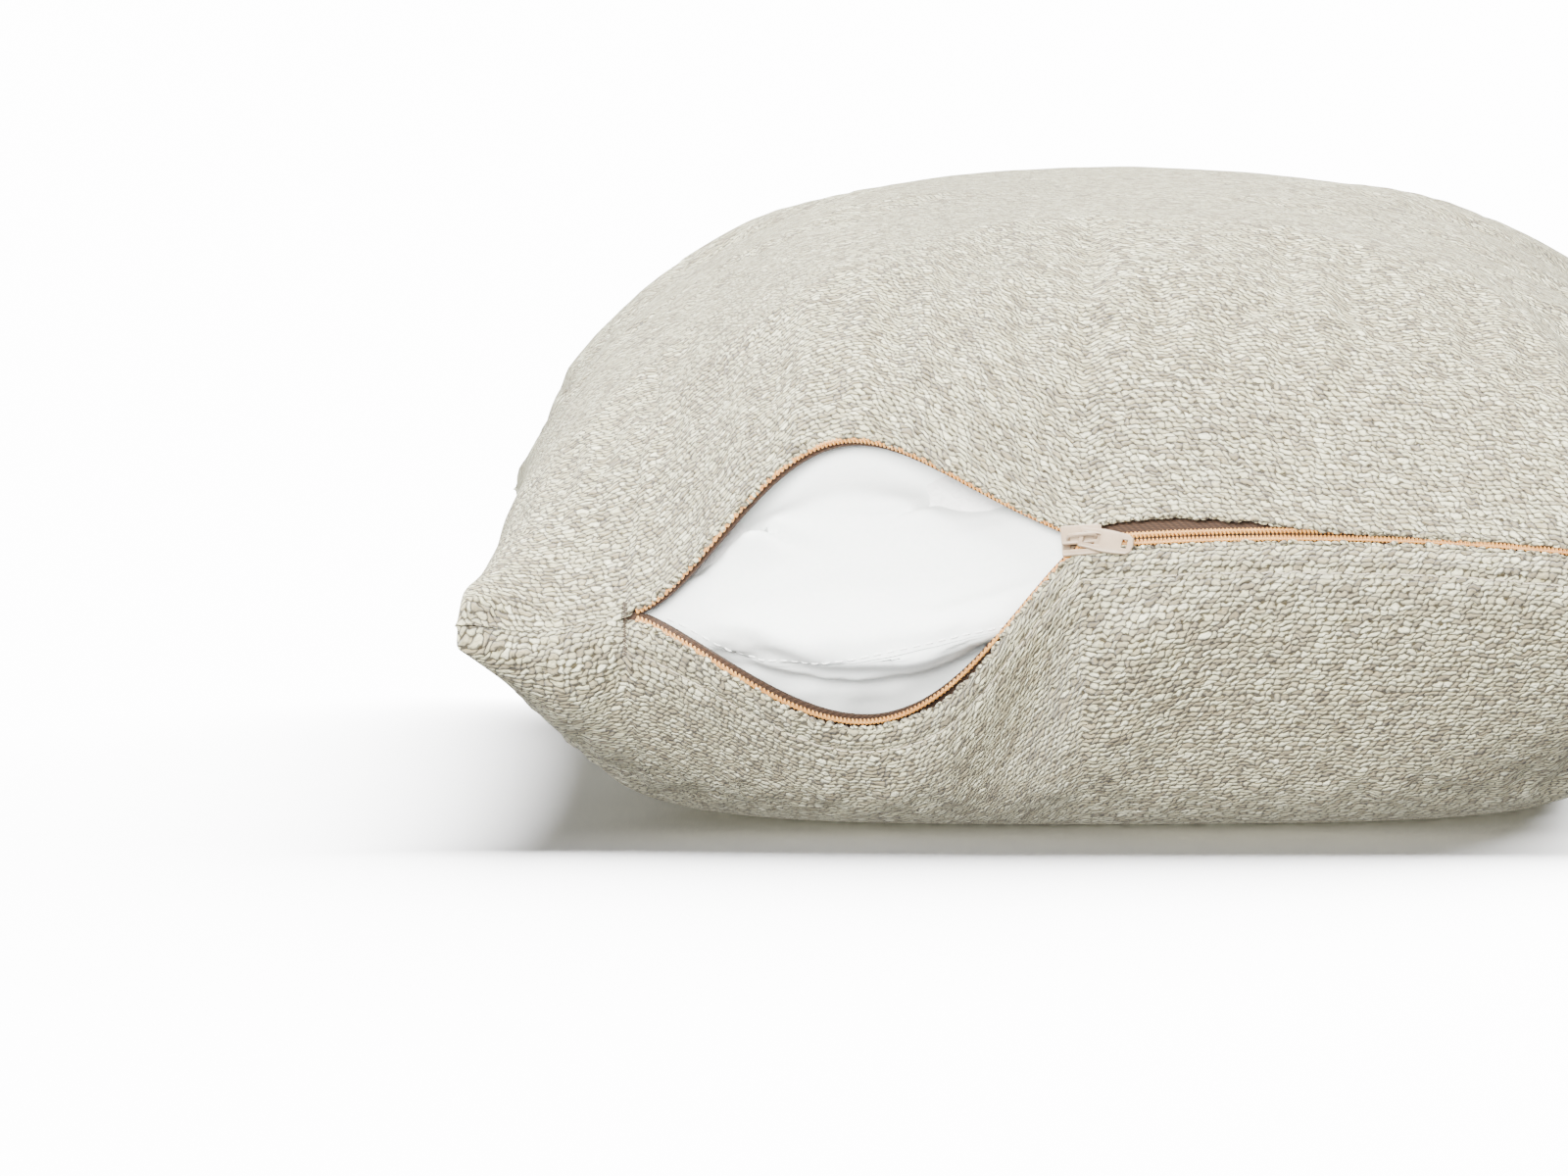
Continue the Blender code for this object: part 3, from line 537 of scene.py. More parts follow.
class NodeBench:
    """Adds nodes to a tree and joins them: an input is a value, or another node's output."""

    def __init__(self, tree):
        self.tree = tree

    def add(self, kind, inputs=(), **settings):
        node = self.tree.nodes.new(kind)
        for key, value in settings.items():
            setattr(node, key, value)
        for key, value in dict(inputs).items():
            self.feed(node.inputs[key], value)
        return node

    def feed(self, socket, value):
        if isinstance(value, bpy.types.NodeSocket):
            self.tree.links.new(value, socket)
        else:
            socket.default_value = value

    def math(self, operation, *values, clamp=False):
        node = self.add("ShaderNodeMath", operation=operation, use_clamp=clamp)
        for i, value in enumerate(values):
            self.feed(node.inputs[i], value)
        return node.outputs[0]

    def bump(self, shader, height, distance, strength):
        node = self.add("ShaderNodeBump", {"Height": height, "Distance": distance, "Strength": strength})
        self.feed(shader.inputs["Normal"], node.outputs["Normal"])

    def mix(self, share, first, second, blend="MIX"):
        node = self.add("ShaderNodeMix", data_type="RGBA", blend_type=blend)
        for i, value in ((0, share), (6, first), (7, second)):
            self.feed(node.inputs[i], value)
        return node.outputs[2]

    def ramp(self, share, *stops):
        node = self.add("ShaderNodeValToRGB", {"Fac": share})
        elements = node.color_ramp.elements
        while len(elements) < len(stops):
            elements.new(0.5)
        for element, (position, colour) in zip(elements, stops):
            element.position = position
            element.color = (*colour, 1.0)
        return node.outputs["Color"]


def pattern_group(name, numbers=None, colours=(), outputs=("Color", "Height"), place="Place"):
    """A node group for a pattern: its place on the piece, its numbers and colours in, its outputs."""
    group = bpy.data.node_groups.new(name, "ShaderNodeTree")
    group.interface.new_socket(place, in_out="INPUT", socket_type="NodeSocketVector")
    for socket, value in (numbers or {}).items():
        made = group.interface.new_socket(socket, in_out="INPUT", socket_type="NodeSocketFloat")
        made.default_value = value
    for socket in colours:
        group.interface.new_socket(socket, in_out="INPUT", socket_type="NodeSocketColor")
    for socket in outputs:
        kind = "NodeSocketColor" if socket == "Color" else "NodeSocketFloat"
        group.interface.new_socket(socket, in_out="OUTPUT", socket_type=kind)
    bench = NodeBench(group)
    return group, bench, bench.add("NodeGroupInput").outputs


def melange_weave_group():
    """Nubs of a heavy weave in staggered rows: colour with painted shade between the nubs, height and
    roughness from cloth lengths.
    """
    group, bench, given = pattern_group("melange_weave", {"Nub Length": 0.0020, "Row Pitch": 0.00132},
                                        outputs=("Color", "Height", "Roughness"), place="Cloth")
    parts = bench.add("ShaderNodeSeparateXYZ", {0: given["Cloth"]}).outputs
    wander = bench.add("ShaderNodeTexNoise", {"Vector": given["Cloth"], "Scale": 330.0, "Detail": 2.0})
    wobble = bench.add("ShaderNodeSeparateColor", {0: wander.outputs["Color"]}).outputs
    column = bench.math("DIVIDE", parts[0], given["Nub Length"])
    column = bench.math("ADD", column, bench.math("MULTIPLY", wobble[0], 2.2))
    row = bench.math("DIVIDE", parts[1], given["Row Pitch"])
    row = bench.math("ADD", row, bench.math("MULTIPLY", wobble[1], 1.9))
    row_number = bench.math("FLOOR", row)
    row_dice = bench.add("ShaderNodeTexWhiteNoise", {"W": row_number}, noise_dimensions="1D").outputs["Value"]
    stagger = bench.math("MULTIPLY", bench.math("PINGPONG", row_number, 1.0), 0.5)
    stagger = bench.math("ADD", stagger, bench.math("MULTIPLY", row_dice, 0.35))
    # Each nub leans a little, because the weft rides over two warps of different height.
    slant = bench.math("MULTIPLY", bench.math("FRACT", row), 0.55)
    column = bench.math("ADD", bench.math("ADD", column, stagger), slant)
    nub_number = bench.math("FLOOR", column)
    nub = bench.add("ShaderNodeCombineXYZ", {0: nub_number, 1: row_number, 2: 0.0}).outputs[0]
    dice = bench.add("ShaderNodeTexWhiteNoise", {"Vector": nub}, noise_dimensions="3D").outputs
    chance = bench.add("ShaderNodeSeparateColor", {0: dice["Color"]}).outputs
    along = bench.math("ABSOLUTE", bench.math("SUBTRACT", bench.math("FRACT", column), 0.5))
    across = bench.math("ABSOLUTE", bench.math("SUBTRACT", bench.math("FRACT", row), 0.5))
    ends = bench.math("POWER", bench.math("MULTIPLY", along, 2.0), 2.6)
    sides = bench.math("POWER", bench.math("MULTIPLY", across, 2.0), 2.0)
    crown = bench.math("SUBTRACT", 1.0, bench.math("ADD", ends, sides), clamp=True)
    crown = bench.math("POWER", crown, 0.6)
    stretched = bench.add("ShaderNodeCombineXYZ", {
        0: bench.math("MULTIPLY", column, 1.8), 1: bench.math("MULTIPLY", row, 4.2), 2: dice["Value"]})
    fibres = bench.add("ShaderNodeTexNoise", {"Vector": stretched.outputs[0], "Scale": 1.7, "Detail": 3.0})
    fibre = fibres.outputs["Fac"]
    lift = bench.math("MULTIPLY", crown, bench.math("ADD", 0.55, bench.math("MULTIPLY", chance[1], 0.65)))
    height = bench.math("ADD", lift, bench.math("MULTIPLY", fibre, 0.45))
    yarn = bench.ramp(dice["Value"], (0.0, (0.17, 0.130, 0.072)), (0.16, (0.37, 0.310, 0.180)),
                      (0.42, (0.54, 0.498, 0.312)), (0.72, (0.70, 0.672, 0.450)), (1.0, (0.90, 0.885, 0.660)))
    streaked = bench.add("ShaderNodeCombineXYZ", {
        0: bench.math("MULTIPLY", column, 0.22), 1: bench.math("MULTIPLY", row_number, 0.9), 2: 0.0})
    streaks = bench.add("ShaderNodeTexNoise", {"Vector": streaked.outputs[0], "Scale": 1.0, "Detail": 2.0})
    share = bench.math("MULTIPLY", streaks.outputs["Fac"], 0.40)
    grey = bench.mix(share, yarn, (0.43, 0.415, 0.305, 1.0))
    # Painted shade: the colour darkens to near black in the gaps between nubs, where the crown is low.
    painted_gap_shade = bench.ramp(crown, (0.0, (0.085, 0.070, 0.042)), (0.26, (0.48, 0.45, 0.35)),
                       (0.72, (1.0, 1.0, 1.0)))
    hairy = bench.ramp(fibre, (0.30, (0.66, 0.65, 0.60)), (0.62, (1.0, 1.0, 0.985)))
    colour = bench.mix(1.0, bench.mix(1.0, grey, painted_gap_shade, "MULTIPLY"), hairy, "MULTIPLY")
    rough = bench.math("SUBTRACT", 1.0, bench.math("MULTIPLY", crown, 0.12))
    bench.add("NodeGroupOutput", {"Color": colour, "Height": height, "Roughness": rough})
    return group


MELANGE_WEAVE = melange_weave_group()


def cover_cloth_material():
    finish, shader = shader_material("cover_cloth")
    bench = NodeBench(finish.node_tree)
    uv = bench.add("ShaderNodeUVMap", uv_map="cut_cloth").outputs["UV"]
    weave = bench.add("ShaderNodeGroup", node_tree=MELANGE_WEAVE)
    bench.feed(weave.inputs["Cloth"], uv)
    bench.feed(shader.inputs["Base Color"], weave.outputs["Color"])
    bench.feed(shader.inputs["Roughness"], weave.outputs["Roughness"])
    bench.bump(shader, weave.outputs["Height"], 0.0011, 1.0)
    for socket, value in {"Sheen Weight": 0.25, "Sheen Roughness": 0.6, "Specular IOR Level": 0.15}.items():
        shader.inputs[socket].default_value = value
    return finish


def fit_piece(piece, finish, node=None, body="cushion"):
    """Gives a piece its material and its body, and hides the CAD node that it stands for."""
    piece.data.materials.append(finish)
    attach(piece, body)
    if node:
        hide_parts(node)


COVER_CLOTH = cover_cloth_material()
cover_edges, cover_skins = {}, {}
for side, node in ((1, "cover_top_panel"), (-1, "cover_bottom_panel")):
    panel, panel_place, panel_cut = make_cover_panel(side, node.replace("panel", "cloth"))
    cover_skins[side] = panel_place[0], panel_cut, surface_normals(panel_place[0], side)
    cover_edges[side] = panel_place[:, :, :2]
    fit_piece(panel, COVER_CLOTH, node)


def lengths_along(path):
    return np.concatenate([[0.0], np.cumsum(np.linalg.norm(np.diff(path, axis=0), axis=1))])


def points_at(at, run, path):
    """The points of a path at these lengths along it."""
    return np.stack([np.interp(at, run, path[:, axis]) for axis in range(3)], axis=-1)


def make_edge_nubs(side, name):
    """The weave's nubs that stand proud of a flap's folded edge."""
    place = cover_edges[side]
    x = place[0, :, 0, 0]
    inside = np.abs(x) < ZIP_HALF_SPAN
    ridge = place[:, inside, 0].mean(axis=0)
    length = lengths_along(ridge)
    dice = np.random.default_rng(5 + side)
    stations = np.arange(0.001, length[-1] - 0.001, 0.0019)
    stations = stations + dice.uniform(-0.0004, 0.0004, len(stations))
    spots = points_at(stations, length, ridge)
    ahead = points_at(stations + 0.001, length, ridge)
    bm = bmesh.new()
    cloth = bm.loops.layers.uv.new("cut_cloth")
    for spot, ahead_spot in zip(spots, ahead):
        along = Vector(ahead_spot - spot).normalized()
        turn = along.to_track_quat("X", "Z").to_matrix().to_4x4()
        lean = Matrix.Rotation(dice.uniform(-0.5, 0.5), 4, "Z")
        lean = lean @ Matrix.Rotation(dice.uniform(-0.4, 0.4), 4, "Y")
        size = Matrix.Diagonal((*dice.uniform((0.00105, 0.00062, 0.00062), (0.00135, 0.00088, 0.00082)), 1.0))
        nudge = Matrix.Translation(Vector(spot) + Vector(dice.uniform(-0.00022, 0.00022, 3)))
        made = bmesh.ops.create_icosphere(bm, subdivisions=2, radius=1.0, matrix=nudge @ turn @ lean @ size)
        corner = dice.uniform(-0.3, 0.3, 2)
        for face in {face for vertex in made["verts"] for face in vertex.link_faces}:
            for loop in face.loops:
                loop[cloth].uv = (loop.vert.co.x + corner[0], loop.vert.co.z + corner[1])
    nubs = link_piece(name, mesh_from(bm, name, 180))
    fit_piece(nubs, COVER_CLOTH)


make_edge_nubs(1, "cover_top_fold_nubs")
make_edge_nubs(-1, "cover_bottom_fold_nubs")

# ---- Zip ------------
# A fine nylon coil zip: two brown woven tapes, each with a peach monofilament coil sewn to its
# edge over a filler cord.  The coils mesh right of the slider and part along the mouth.

COIL_WIDTH, COIL_THICKNESS = 0.0016, 0.00115
TAPE_WIDTH, TAPE_THICKNESS = 0.0124, 0.0006
TAPE_FRONT = COVER_THICKNESS + 0.0009
COIL_FRONT = COVER_THICKNESS - COIL_THICKNESS
COIL_PITCH = 0.00090
WIRE_RADIUS, FILLER_RADIUS = 0.00024, 0.00032
TAPE_TAIL = 0.006


def zip_stations(step, tail):
    count = int(round(2 * (ZIP_HALF_SPAN + tail) / step))
    return np.linspace(-ZIP_HALF_SPAN - tail, ZIP_HALF_SPAN + tail, count + 1)


def make_tape(side, name):
    x = zip_stations(0.0010, TAPE_TAIL)
    across = np.linspace(SEAM_GAP / 2, TAPE_WIDTH, 13)
    offsets = lip_offset(x, side)[:, None] + across[None, :]
    grid_x = np.broadcast_to(x[:, None], offsets.shape)
    place = np.stack([front_point(grid_x, offsets, side, TAPE_FRONT + TAPE_THICKNESS * k) for k in (0, 1)])
    mesh = lattice(len(x) - 1, len(across) - 1, place, cut_coordinates(place[0]), side > 0, name)
    return link_piece(name, mesh)


def zip_tape_material():
    finish, shader = shader_material("zip_tape")
    bench = NodeBench(finish.node_tree)
    uv = bench.add("ShaderNodeUVMap", uv_map="cut_cloth").outputs["UV"]
    ribs = bench.add("ShaderNodeTexWave", {"Vector": uv, "Scale": 420.0, "Distortion": 0.6},
                     wave_type="BANDS", bands_direction="DIAGONAL")
    weft = bench.add("ShaderNodeTexWave", {"Vector": uv, "Scale": 700.0},
                     wave_type="BANDS", bands_direction="Y")
    thread = bench.math("MULTIPLY", ribs.outputs["Fac"], weft.outputs["Fac"])
    brown = bench.ramp(thread, (0.0, (0.028, 0.013, 0.006)), (1.0, (0.085, 0.042, 0.021)))
    bench.feed(shader.inputs["Base Color"], brown)
    bench.bump(shader, thread, 0.00015, 0.8)
    shader.inputs["Roughness"].default_value = 0.85
    return finish


ZIP_TAPE = zip_tape_material()
for side, node in ((1, "zip_tape_upper"), (-1, "zip_tape_lower")):
    tape = make_tape(side, node + "_weave")
    fit_piece(tape, ZIP_TAPE, node)


def wire(name, runs, radius):
    """A round wire or thread along each run of points."""
    curve = bpy.data.curves.new(name, "CURVE")
    curve.dimensions = "3D"
    curve.bevel_depth = radius
    curve.bevel_resolution = 1
    curve.use_fill_caps = True
    for points in runs:
        spline = curve.splines.new("POLY")
        spline.points.add(len(points) - 1)
        flat = np.ones((len(points), 4))
        flat[:, :3] = points
        spline.points.foreach_set("co", flat.ravel())
    return link_piece(name, curve)


def lip_frame(x, offset, side, depth):
    """Place, up-slope direction and outward direction on the zipped face."""
    nudge = 0.0002
    place = front_point(x, offset, side, depth)
    slope = (front_point(x, offset + nudge, side, depth) - place) * side
    slope /= np.linalg.norm(slope, axis=-1, keepdims=True)
    forward = np.gradient(place, axis=0)
    forward /= np.linalg.norm(forward, axis=-1, keepdims=True)
    outward = np.cross(forward, slope)
    return place, slope, outward


def make_coil(side, name):
    """The coil's loops: an oval helix whose noses reach the chain's middle line."""
    turns = int(2 * ZIP_HALF_SPAN / COIL_PITCH)
    per_turn = 10
    x = np.linspace(ZIP_START_X, ZIP_END_X, turns * per_turn + 1)
    phase = 2 * math.pi * np.arange(len(x)) / per_turn + (math.pi if side < 0 else 0.0)
    middle = lip_offset(x, side) + SEAM_GAP / 2 + COIL_WIDTH / 2
    place, slope, outward = lip_frame(x, middle, side, COIL_FRONT + COIL_THICKNESS / 2)
    across = (COIL_WIDTH / 2 - WIRE_RADIUS) * 1.15 * np.cos(phase)
    depth = (COIL_THICKNESS / 2 - WIRE_RADIUS) * np.sin(phase)
    return wire(name, [place + slope * across[:, None] + outward * depth[:, None]], WIRE_RADIUS)


def mottle_group():
    """Cloudy colour between two tones, and the same clouds as a height."""
    numbers = {"Scale": 90.0, "Detail": 3.0, "Distortion": 0.0}
    group, bench, given = pattern_group("mottle", numbers, ("Dark", "Light"))
    cloud = bench.add("ShaderNodeTexNoise", {
        "Vector": given["Place"], "Scale": given["Scale"], "Detail": given["Detail"],
        "Distortion": given["Distortion"]}).outputs["Fac"]
    share = bench.add("ShaderNodeMapRange", {"Value": cloud, "From Min": 0.3, "From Max": 0.7})
    colour = bench.mix(share.outputs["Result"], given["Dark"], given["Light"])
    bench.add("NodeGroupOutput", {"Color": colour, "Height": cloud})
    return group


def thread_ply_group():
    """The plies of a twisted thread: colour and height."""
    group, bench, given = pattern_group("thread_ply", colours=("Dark", "Light"))
    ply = bench.add("ShaderNodeTexWave", {"Vector": given["Place"], "Scale": 900.0, "Distortion": 2.0},
                    wave_type="BANDS", bands_direction="DIAGONAL").outputs["Fac"]
    bench.add("NodeGroupOutput", {"Color": bench.mix(ply, given["Dark"], given["Light"]), "Height": ply})
    return group


MOTTLE, THREAD_PLY = mottle_group(), thread_ply_group()


def grouped_finish(name, group, dark, light, constants, bump=None, **values):
    """A material whose colour, and bump if it has one, come from a group in Object coordinates."""
    finish, shader = shader_material(name)
    bench = NodeBench(finish.node_tree)
    pattern = bench.add("ShaderNodeGroup", node_tree=group)
    bench.feed(pattern.inputs["Place"], bench.add("ShaderNodeTexCoord").outputs["Object"])
    for key, value in dict(values, Dark=(*dark, 1.0), Light=(*light, 1.0)).items():
        pattern.inputs[key].default_value = value
    bench.feed(shader.inputs["Base Color"], pattern.outputs["Color"])
    if bump:
        bench.bump(shader, pattern.outputs["Height"], *bump)
    for socket, value in constants.items():
        shader.inputs[socket].default_value = value
    return finish


ZIP_COIL = grouped_finish(
    "zip_coil", MOTTLE, (0.46, 0.20, 0.045), (0.58, 0.29, 0.075),
    {"Roughness": 0.35, "Subsurface Weight": 0.15, "Subsurface Radius": (0.0006, 0.0003, 0.0002)},
    Scale=90.0, Detail=2.0)
for side, node in ((1, "zip_coil_upper"), (-1, "zip_coil_lower")):
    fit_piece(make_coil(side, node + "_loops"), ZIP_COIL, node)
    x = zip_stations(0.002, 0.0)
    middle = lip_offset(x, side) + SEAM_GAP / 2 + COIL_WIDTH * 0.62
    core = front_point(x, middle, side, COIL_FRONT + COIL_THICKNESS / 2)
    fit_piece(wire(node + "_filler_cord", [core], FILLER_RADIUS), ZIP_COIL)

# ---- Stitches ------------
# Polyester thread: beige on the cover, dark brown in the bar tacks and white on the case.  The
# lower flap is topstitched through the tape, each end of the zip is bar-tacked, and the closed
# seams and the case are lockstitched inside.

STITCH_RADIUS = 0.00024
STITCH_LENGTH, STITCH_SPACE = 0.0026, 0.0031
STITCH_BURY = 0.0004            # how far each end of a stitch goes into the cloth


def thread_material(name, low, high):
    return grouped_finish(name, THREAD_PLY, low, high, {"Roughness": 0.6}, (0.00008, 0.6))


THREAD = thread_material("sewing_thread", (0.34, 0.30, 0.22), (0.52, 0.48, 0.37))
DARK_THREAD = thread_material("bar_tack_thread", (0.025, 0.016, 0.009), (0.075, 0.050, 0.030))
THREAD_WHITE = thread_material("case_thread", (0.80, 0.81, 0.80), (0.92, 0.93, 0.92))


def stitched_line(name, path, outward, finish, node, radius=STITCH_RADIUS, length=STITCH_LENGTH,
                  space=STITCH_SPACE):
    """A row of stitches along path: each one rises out of the cloth and dives back in."""
    run = lengths_along(path)
    steps = np.linspace(0.0, 1.0, 7)
    arch = radius * 0.7 - STITCH_BURY * (2.0 * steps - 1.0) ** 4
    stitches = []
    for start in np.arange(space / 2, run[-1] - length, space):
        at = start + steps * length
        stitches.append(points_at(at, run, path) + points_at(at, run, outward) * arch[:, None])
    fit_piece(wire(name, stitches, radius), finish, node)


def along_fold(side, distance, first_x, last_x):
    """The line on a cover panel at this distance from its folded edge, and the outward directions."""
    place, cut, normals = cover_skins[side]
    path, outward = [], []
    for i in range(place.shape[0]):
        if first_x <= place[i, 0, 0] <= last_x:
            path.append(points_at(distance, cut[i, :, 1], place[i]))
            outward.append(points_at(distance, cut[i, :, 1], normals[i]))
    return np.array(path), np.array(outward)


line, outward = along_fold(-1, TOPSTITCH_FROM_FOLD, ZIP_START_X + 0.001, ZIP_END_X - 0.001)
stitched_line("zip_topstitch_stitches", line, outward, THREAD, "zip_topstitch_lower")

BAR_TACK_RISE, BAR_TACK_FALL = 0.0040, 0.0085
BAR_TACK_STEP, BAR_TACK_WIDTH, BAR_TACK_RADIUS = 0.00028, 0.0008, 0.00028
for end, node in ((-1, "zip_start_bar_tack"), (1, "zip_end_bar_tack")):
    # A bar tack: close zigzag stitches across the end of the zip, over both panels.
    legs = []
    for side, reach in ((1, BAR_TACK_RISE), (-1, BAR_TACK_FALL)):
        skin, cut, normals = cover_skins[side]
        i = int(np.abs(skin[:, 0, 0] - end * (ZIP_HALF_SPAN + 0.0018)).argmin())
        at = np.linspace(0.0, reach, int(reach / BAR_TACK_STEP))
        legs.append(points_at(at, cut[i, :, 1], (skin + normals * 0.0001)[i])[::-side])
    zigzag = np.concatenate(legs)
    zigzag[:, 0] += BAR_TACK_WIDTH * (np.arange(len(zigzag)) % 2 - 0.5)
    fit_piece(wire(node + "_zigzag", [zigzag], BAR_TACK_RADIUS), DARK_THREAD, node)

for node in ("left_side_seam_thread", "right_side_seam_thread", "back_seam_thread", "front_left_seam_thread",
             "front_right_seam_thread", "zip_stitching_upper", "inner_case_left_seam_thread",
             "inner_case_right_seam_thread", "inner_case_back_seam_thread"):
    frame["nodes"][node].data.materials.clear()
    frame["nodes"][node].data.materials.append(THREAD)

# ---- Slider and pull ------------
# A die-cast slider with a bail, and a pull tab stamped from sheet that hangs on the bail.  Both
# are stoved in cream paint.

SLIDER_PAINT = grouped_finish("slider_paint", MOTTLE, (0.31, 0.225, 0.150), (0.38, 0.285, 0.195),
                              {"Roughness": 0.32}, (0.00004, 0.4), Scale=350.0)
SLIDER_X = -0.0096
FACE_TILT = math.atan2(LEAN_HEIGHT, FACE_LEAN)  # the zipped face's slope at the zip, above level
PULL_HEIGHT = 0.00288
PULL_YAW = math.radians(-16)
slider_frame = (Matrix.Translation((ZIP_CENTRE_X, ZIP_PLANE_Y, ZIP_CENTRE_Z))
                @ Matrix.Rotation(math.asin((SLIDER_X - ZIP_CENTRE_X) / ZIP_RADIUS), 4, "Y")
                @ Matrix.Translation((0.0, 0.0, ZIP_RADIUS)) @ Matrix.Rotation(FACE_TILT, 4, "X"))


def add_block(bm, low, high, radius):
    """A box with rounded edges."""
    low, high = Vector(low), Vector(high)
    size = Matrix.Diagonal((*(high - low), 1.0))
    made = bmesh.ops.create_cube(bm, size=1.0, matrix=Matrix.Translation((low + high) / 2) @ size)
    edges = list({edge for vertex in made["verts"] for edge in vertex.link_edges})
    bmesh.ops.bevel(bm, geom=edges, offset=radius, segments=3, profile=0.5, affect="EDGES", material=-1)


def add_rod(bm, points, radius, sides=12):
    """A round wire through points in a plane, made by moving a ring along them."""
    points = [Vector(point) for point in points]
    rings = []
    for k, point in enumerate(points):
        ahead = (points[min(k + 1, len(points) - 1)] - points[max(k - 1, 0)]).normalized()
        turn = ahead.to_track_quat("Z", "Y").to_matrix().to_4x4()
        ring = bmesh.ops.create_circle(bm, cap_ends=k in (0, len(points) - 1), segments=sides, radius=radius,
                                       matrix=Matrix.Translation(point) @ turn)["verts"]
        rings.append(ring)
        if k:
            edges = [edge for pair in rings[-2:] for vertex in pair for edge in vertex.link_edges
                     if all(end in pair for end in edge.verts)]
            bmesh.ops.bridge_loops(bm, edges=list(set(edges)))


# The casting's blocks: low corner, high corner and edge rounding.
SLIDER_BLOCKS = (
    ((-0.0046, -0.0010, 0.00089), (0.0042, 0.0036, 0.00195), 0.00035),      # upper half of the front plate
    ((-0.0046, -0.0037, 0.00075), (0.0040, -0.0023, 0.00170), 0.00030),     # lower half
    ((0.0026, -0.0035, 0.00080), (0.0046, 0.0034, 0.00185), 0.00035),       # where both halves join
    ((-0.0046, -0.0039, -0.00265), (0.0046, 0.0039, -0.00180), 0.00030),    # back plate
    ((-0.0022, -0.0039, -0.00250), (0.0044, -0.0031, -0.00120), 0.00020),   # back flanges
    ((-0.0022, 0.0031, -0.00250), (0.0044, 0.0039, -0.00120), 0.00020),
    ((-0.0044, -0.0006, -0.00200), (-0.0026, 0.0006, 0.00100), 0.00020),    # the post that parts the coils
)
BAIL_ARCH = ((0.0030, 0.0017), (0.0031, 0.0030), (0.0027, 0.0039), (0.0016, 0.00425))
BAIL_TOP, BAIL_RADIUS = 0.00432, 0.00043
body = bmesh.new()
for low, high, rounding in SLIDER_BLOCKS:
    add_block(body, low, high, rounding)
arch = [(-x, 0, z) for x, z in BAIL_ARCH] + [(0, 0, BAIL_TOP)] + [(x, 0, z) for x, z in BAIL_ARCH[::-1]]
add_rod(body, arch, BAIL_RADIUS)
bmesh.ops.transform(body, matrix=slider_frame, verts=body.verts[:])
slider_piece = link_piece("zip_slider_casting", mesh_from(body, "zip_slider_casting", 40))

PULL_LENGTH, PULL_BAR = 0.0118, 0.00045
HOLE_END, HOLE_HALF = 0.0042, 0.00140
SLOT_START, SLOT_END, SLOT_HALF = 0.0092, 0.0104, 0.00115


def pull_half_width(x):
    """The pull widens from its loop, then narrows to a rounded end."""
    waist = 0.00235 + 0.00042 * smoothstep((x - 0.001) / 0.004) - 0.00025 * smoothstep((x - 0.006) / 0.004)
    end = np.clip((PULL_LENGTH - x) / 0.0021, 0.0, 1.0)
    return waist * np.sqrt(1.0 - (1.0 - end) ** 2 * 0.86)


pull_x = np.concatenate([[-PULL_BAR, PULL_BAR], np.linspace(0.0010, HOLE_END, 6),
                         np.linspace(0.0048, 0.0086, 7), [SLOT_START, SLOT_END],
                         np.linspace(0.0107, PULL_LENGTH, 7)])
pull = bmesh.new()
bmesh.ops.create_grid(pull, x_segments=len(pull_x) - 1, y_segments=5, size=1.0)
for vertex in pull.verts:
    i = round((vertex.co.x + 1.0) / 2.0 * (len(pull_x) - 1))
    j = round((vertex.co.y + 1.0) / 2.0 * 5)
    half = float(pull_half_width(pull_x[i]))
    inner = HOLE_HALF if pull_x[i] < 0.006 else SLOT_HALF
    vertex.co = (pull_x[i], (-half, -inner, -0.0004, 0.0004, inner, half)[j], 0.0)
holes = [face for face in pull.faces if abs(face.calc_center_median().y) < HOLE_HALF - 0.0001
         and (PULL_BAR < face.calc_center_median().x < HOLE_END
              or SLOT_START < face.calc_center_median().x < SLOT_END)]
bmesh.ops.delete(pull, geom=holes, context="FACES")
bmesh.ops.solidify(pull, geom=pull.faces[:], thickness=0.0009)
bmesh.ops.recalc_face_normals(pull, faces=pull.faces[:])
middle = sum((vertex.co.z for vertex in pull.verts)) / len(pull.verts)
bmesh.ops.translate(pull, verts=pull.verts[:], vec=(0.0, 0.0, PULL_HEIGHT - middle))
sharp = [edge for edge in pull.edges
         if len(edge.link_faces) == 2 and edge.calc_face_angle() > math.radians(50)]
bmesh.ops.bevel(pull, geom=sharp, offset=0.00016, segments=2, profile=0.5, affect="EDGES", material=-1)
bmesh.ops.transform(pull, matrix=slider_frame @ Matrix.Rotation(PULL_YAW, 4, "Z"), verts=pull.verts[:])
pull_piece = link_piece("zip_pull_stamping", mesh_from(pull, "zip_pull_stamping", 40))

fit_piece(slider_piece, SLIDER_PAINT, "zip_slider_body", "slider")
fit_piece(pull_piece, SLIDER_PAINT, "zip_pull_tab", "pull_tab")

# ---- Inner case ------------
# A plain pillow of smooth white non-woven, stuffed with fibre.  It lies slack behind the mouth,
# so it dimples and folds where the cover no longer holds it.

CASE_SIDES, CASE_ENDS = COVER_THICKNESS + 0.0028, COVER_THICKNESS + 0.0060
CASE_TOP, CASE_BELLY, CASE_BASE = COVER_THICKNESS + 0.0015, COVER_THICKNESS + 0.0120, COVER_THICKNESS + 0.0003
CASE_THICKNESS = 0.0008
CASE_COLUMNS, CASE_ROWS, CASE_ROLLED_ROWS = 220, 180, 24
CASE_SEAM_DROP = 0.0165


def case_form(s, t, side):
    return form_point(s, t, side, CASE_SIDES, CASE_ENDS, CASE_TOP, CASE_BELLY, CASE_BASE)


def case_point(s, t, side, depth=0.0):
    return form_point(s, t, side, CASE_SIDES + depth, CASE_ENDS + depth, CASE_TOP + depth,
                      CASE_BELLY + depth, CASE_BASE + depth, max(CASE_THICKNESS - depth, 0.0))


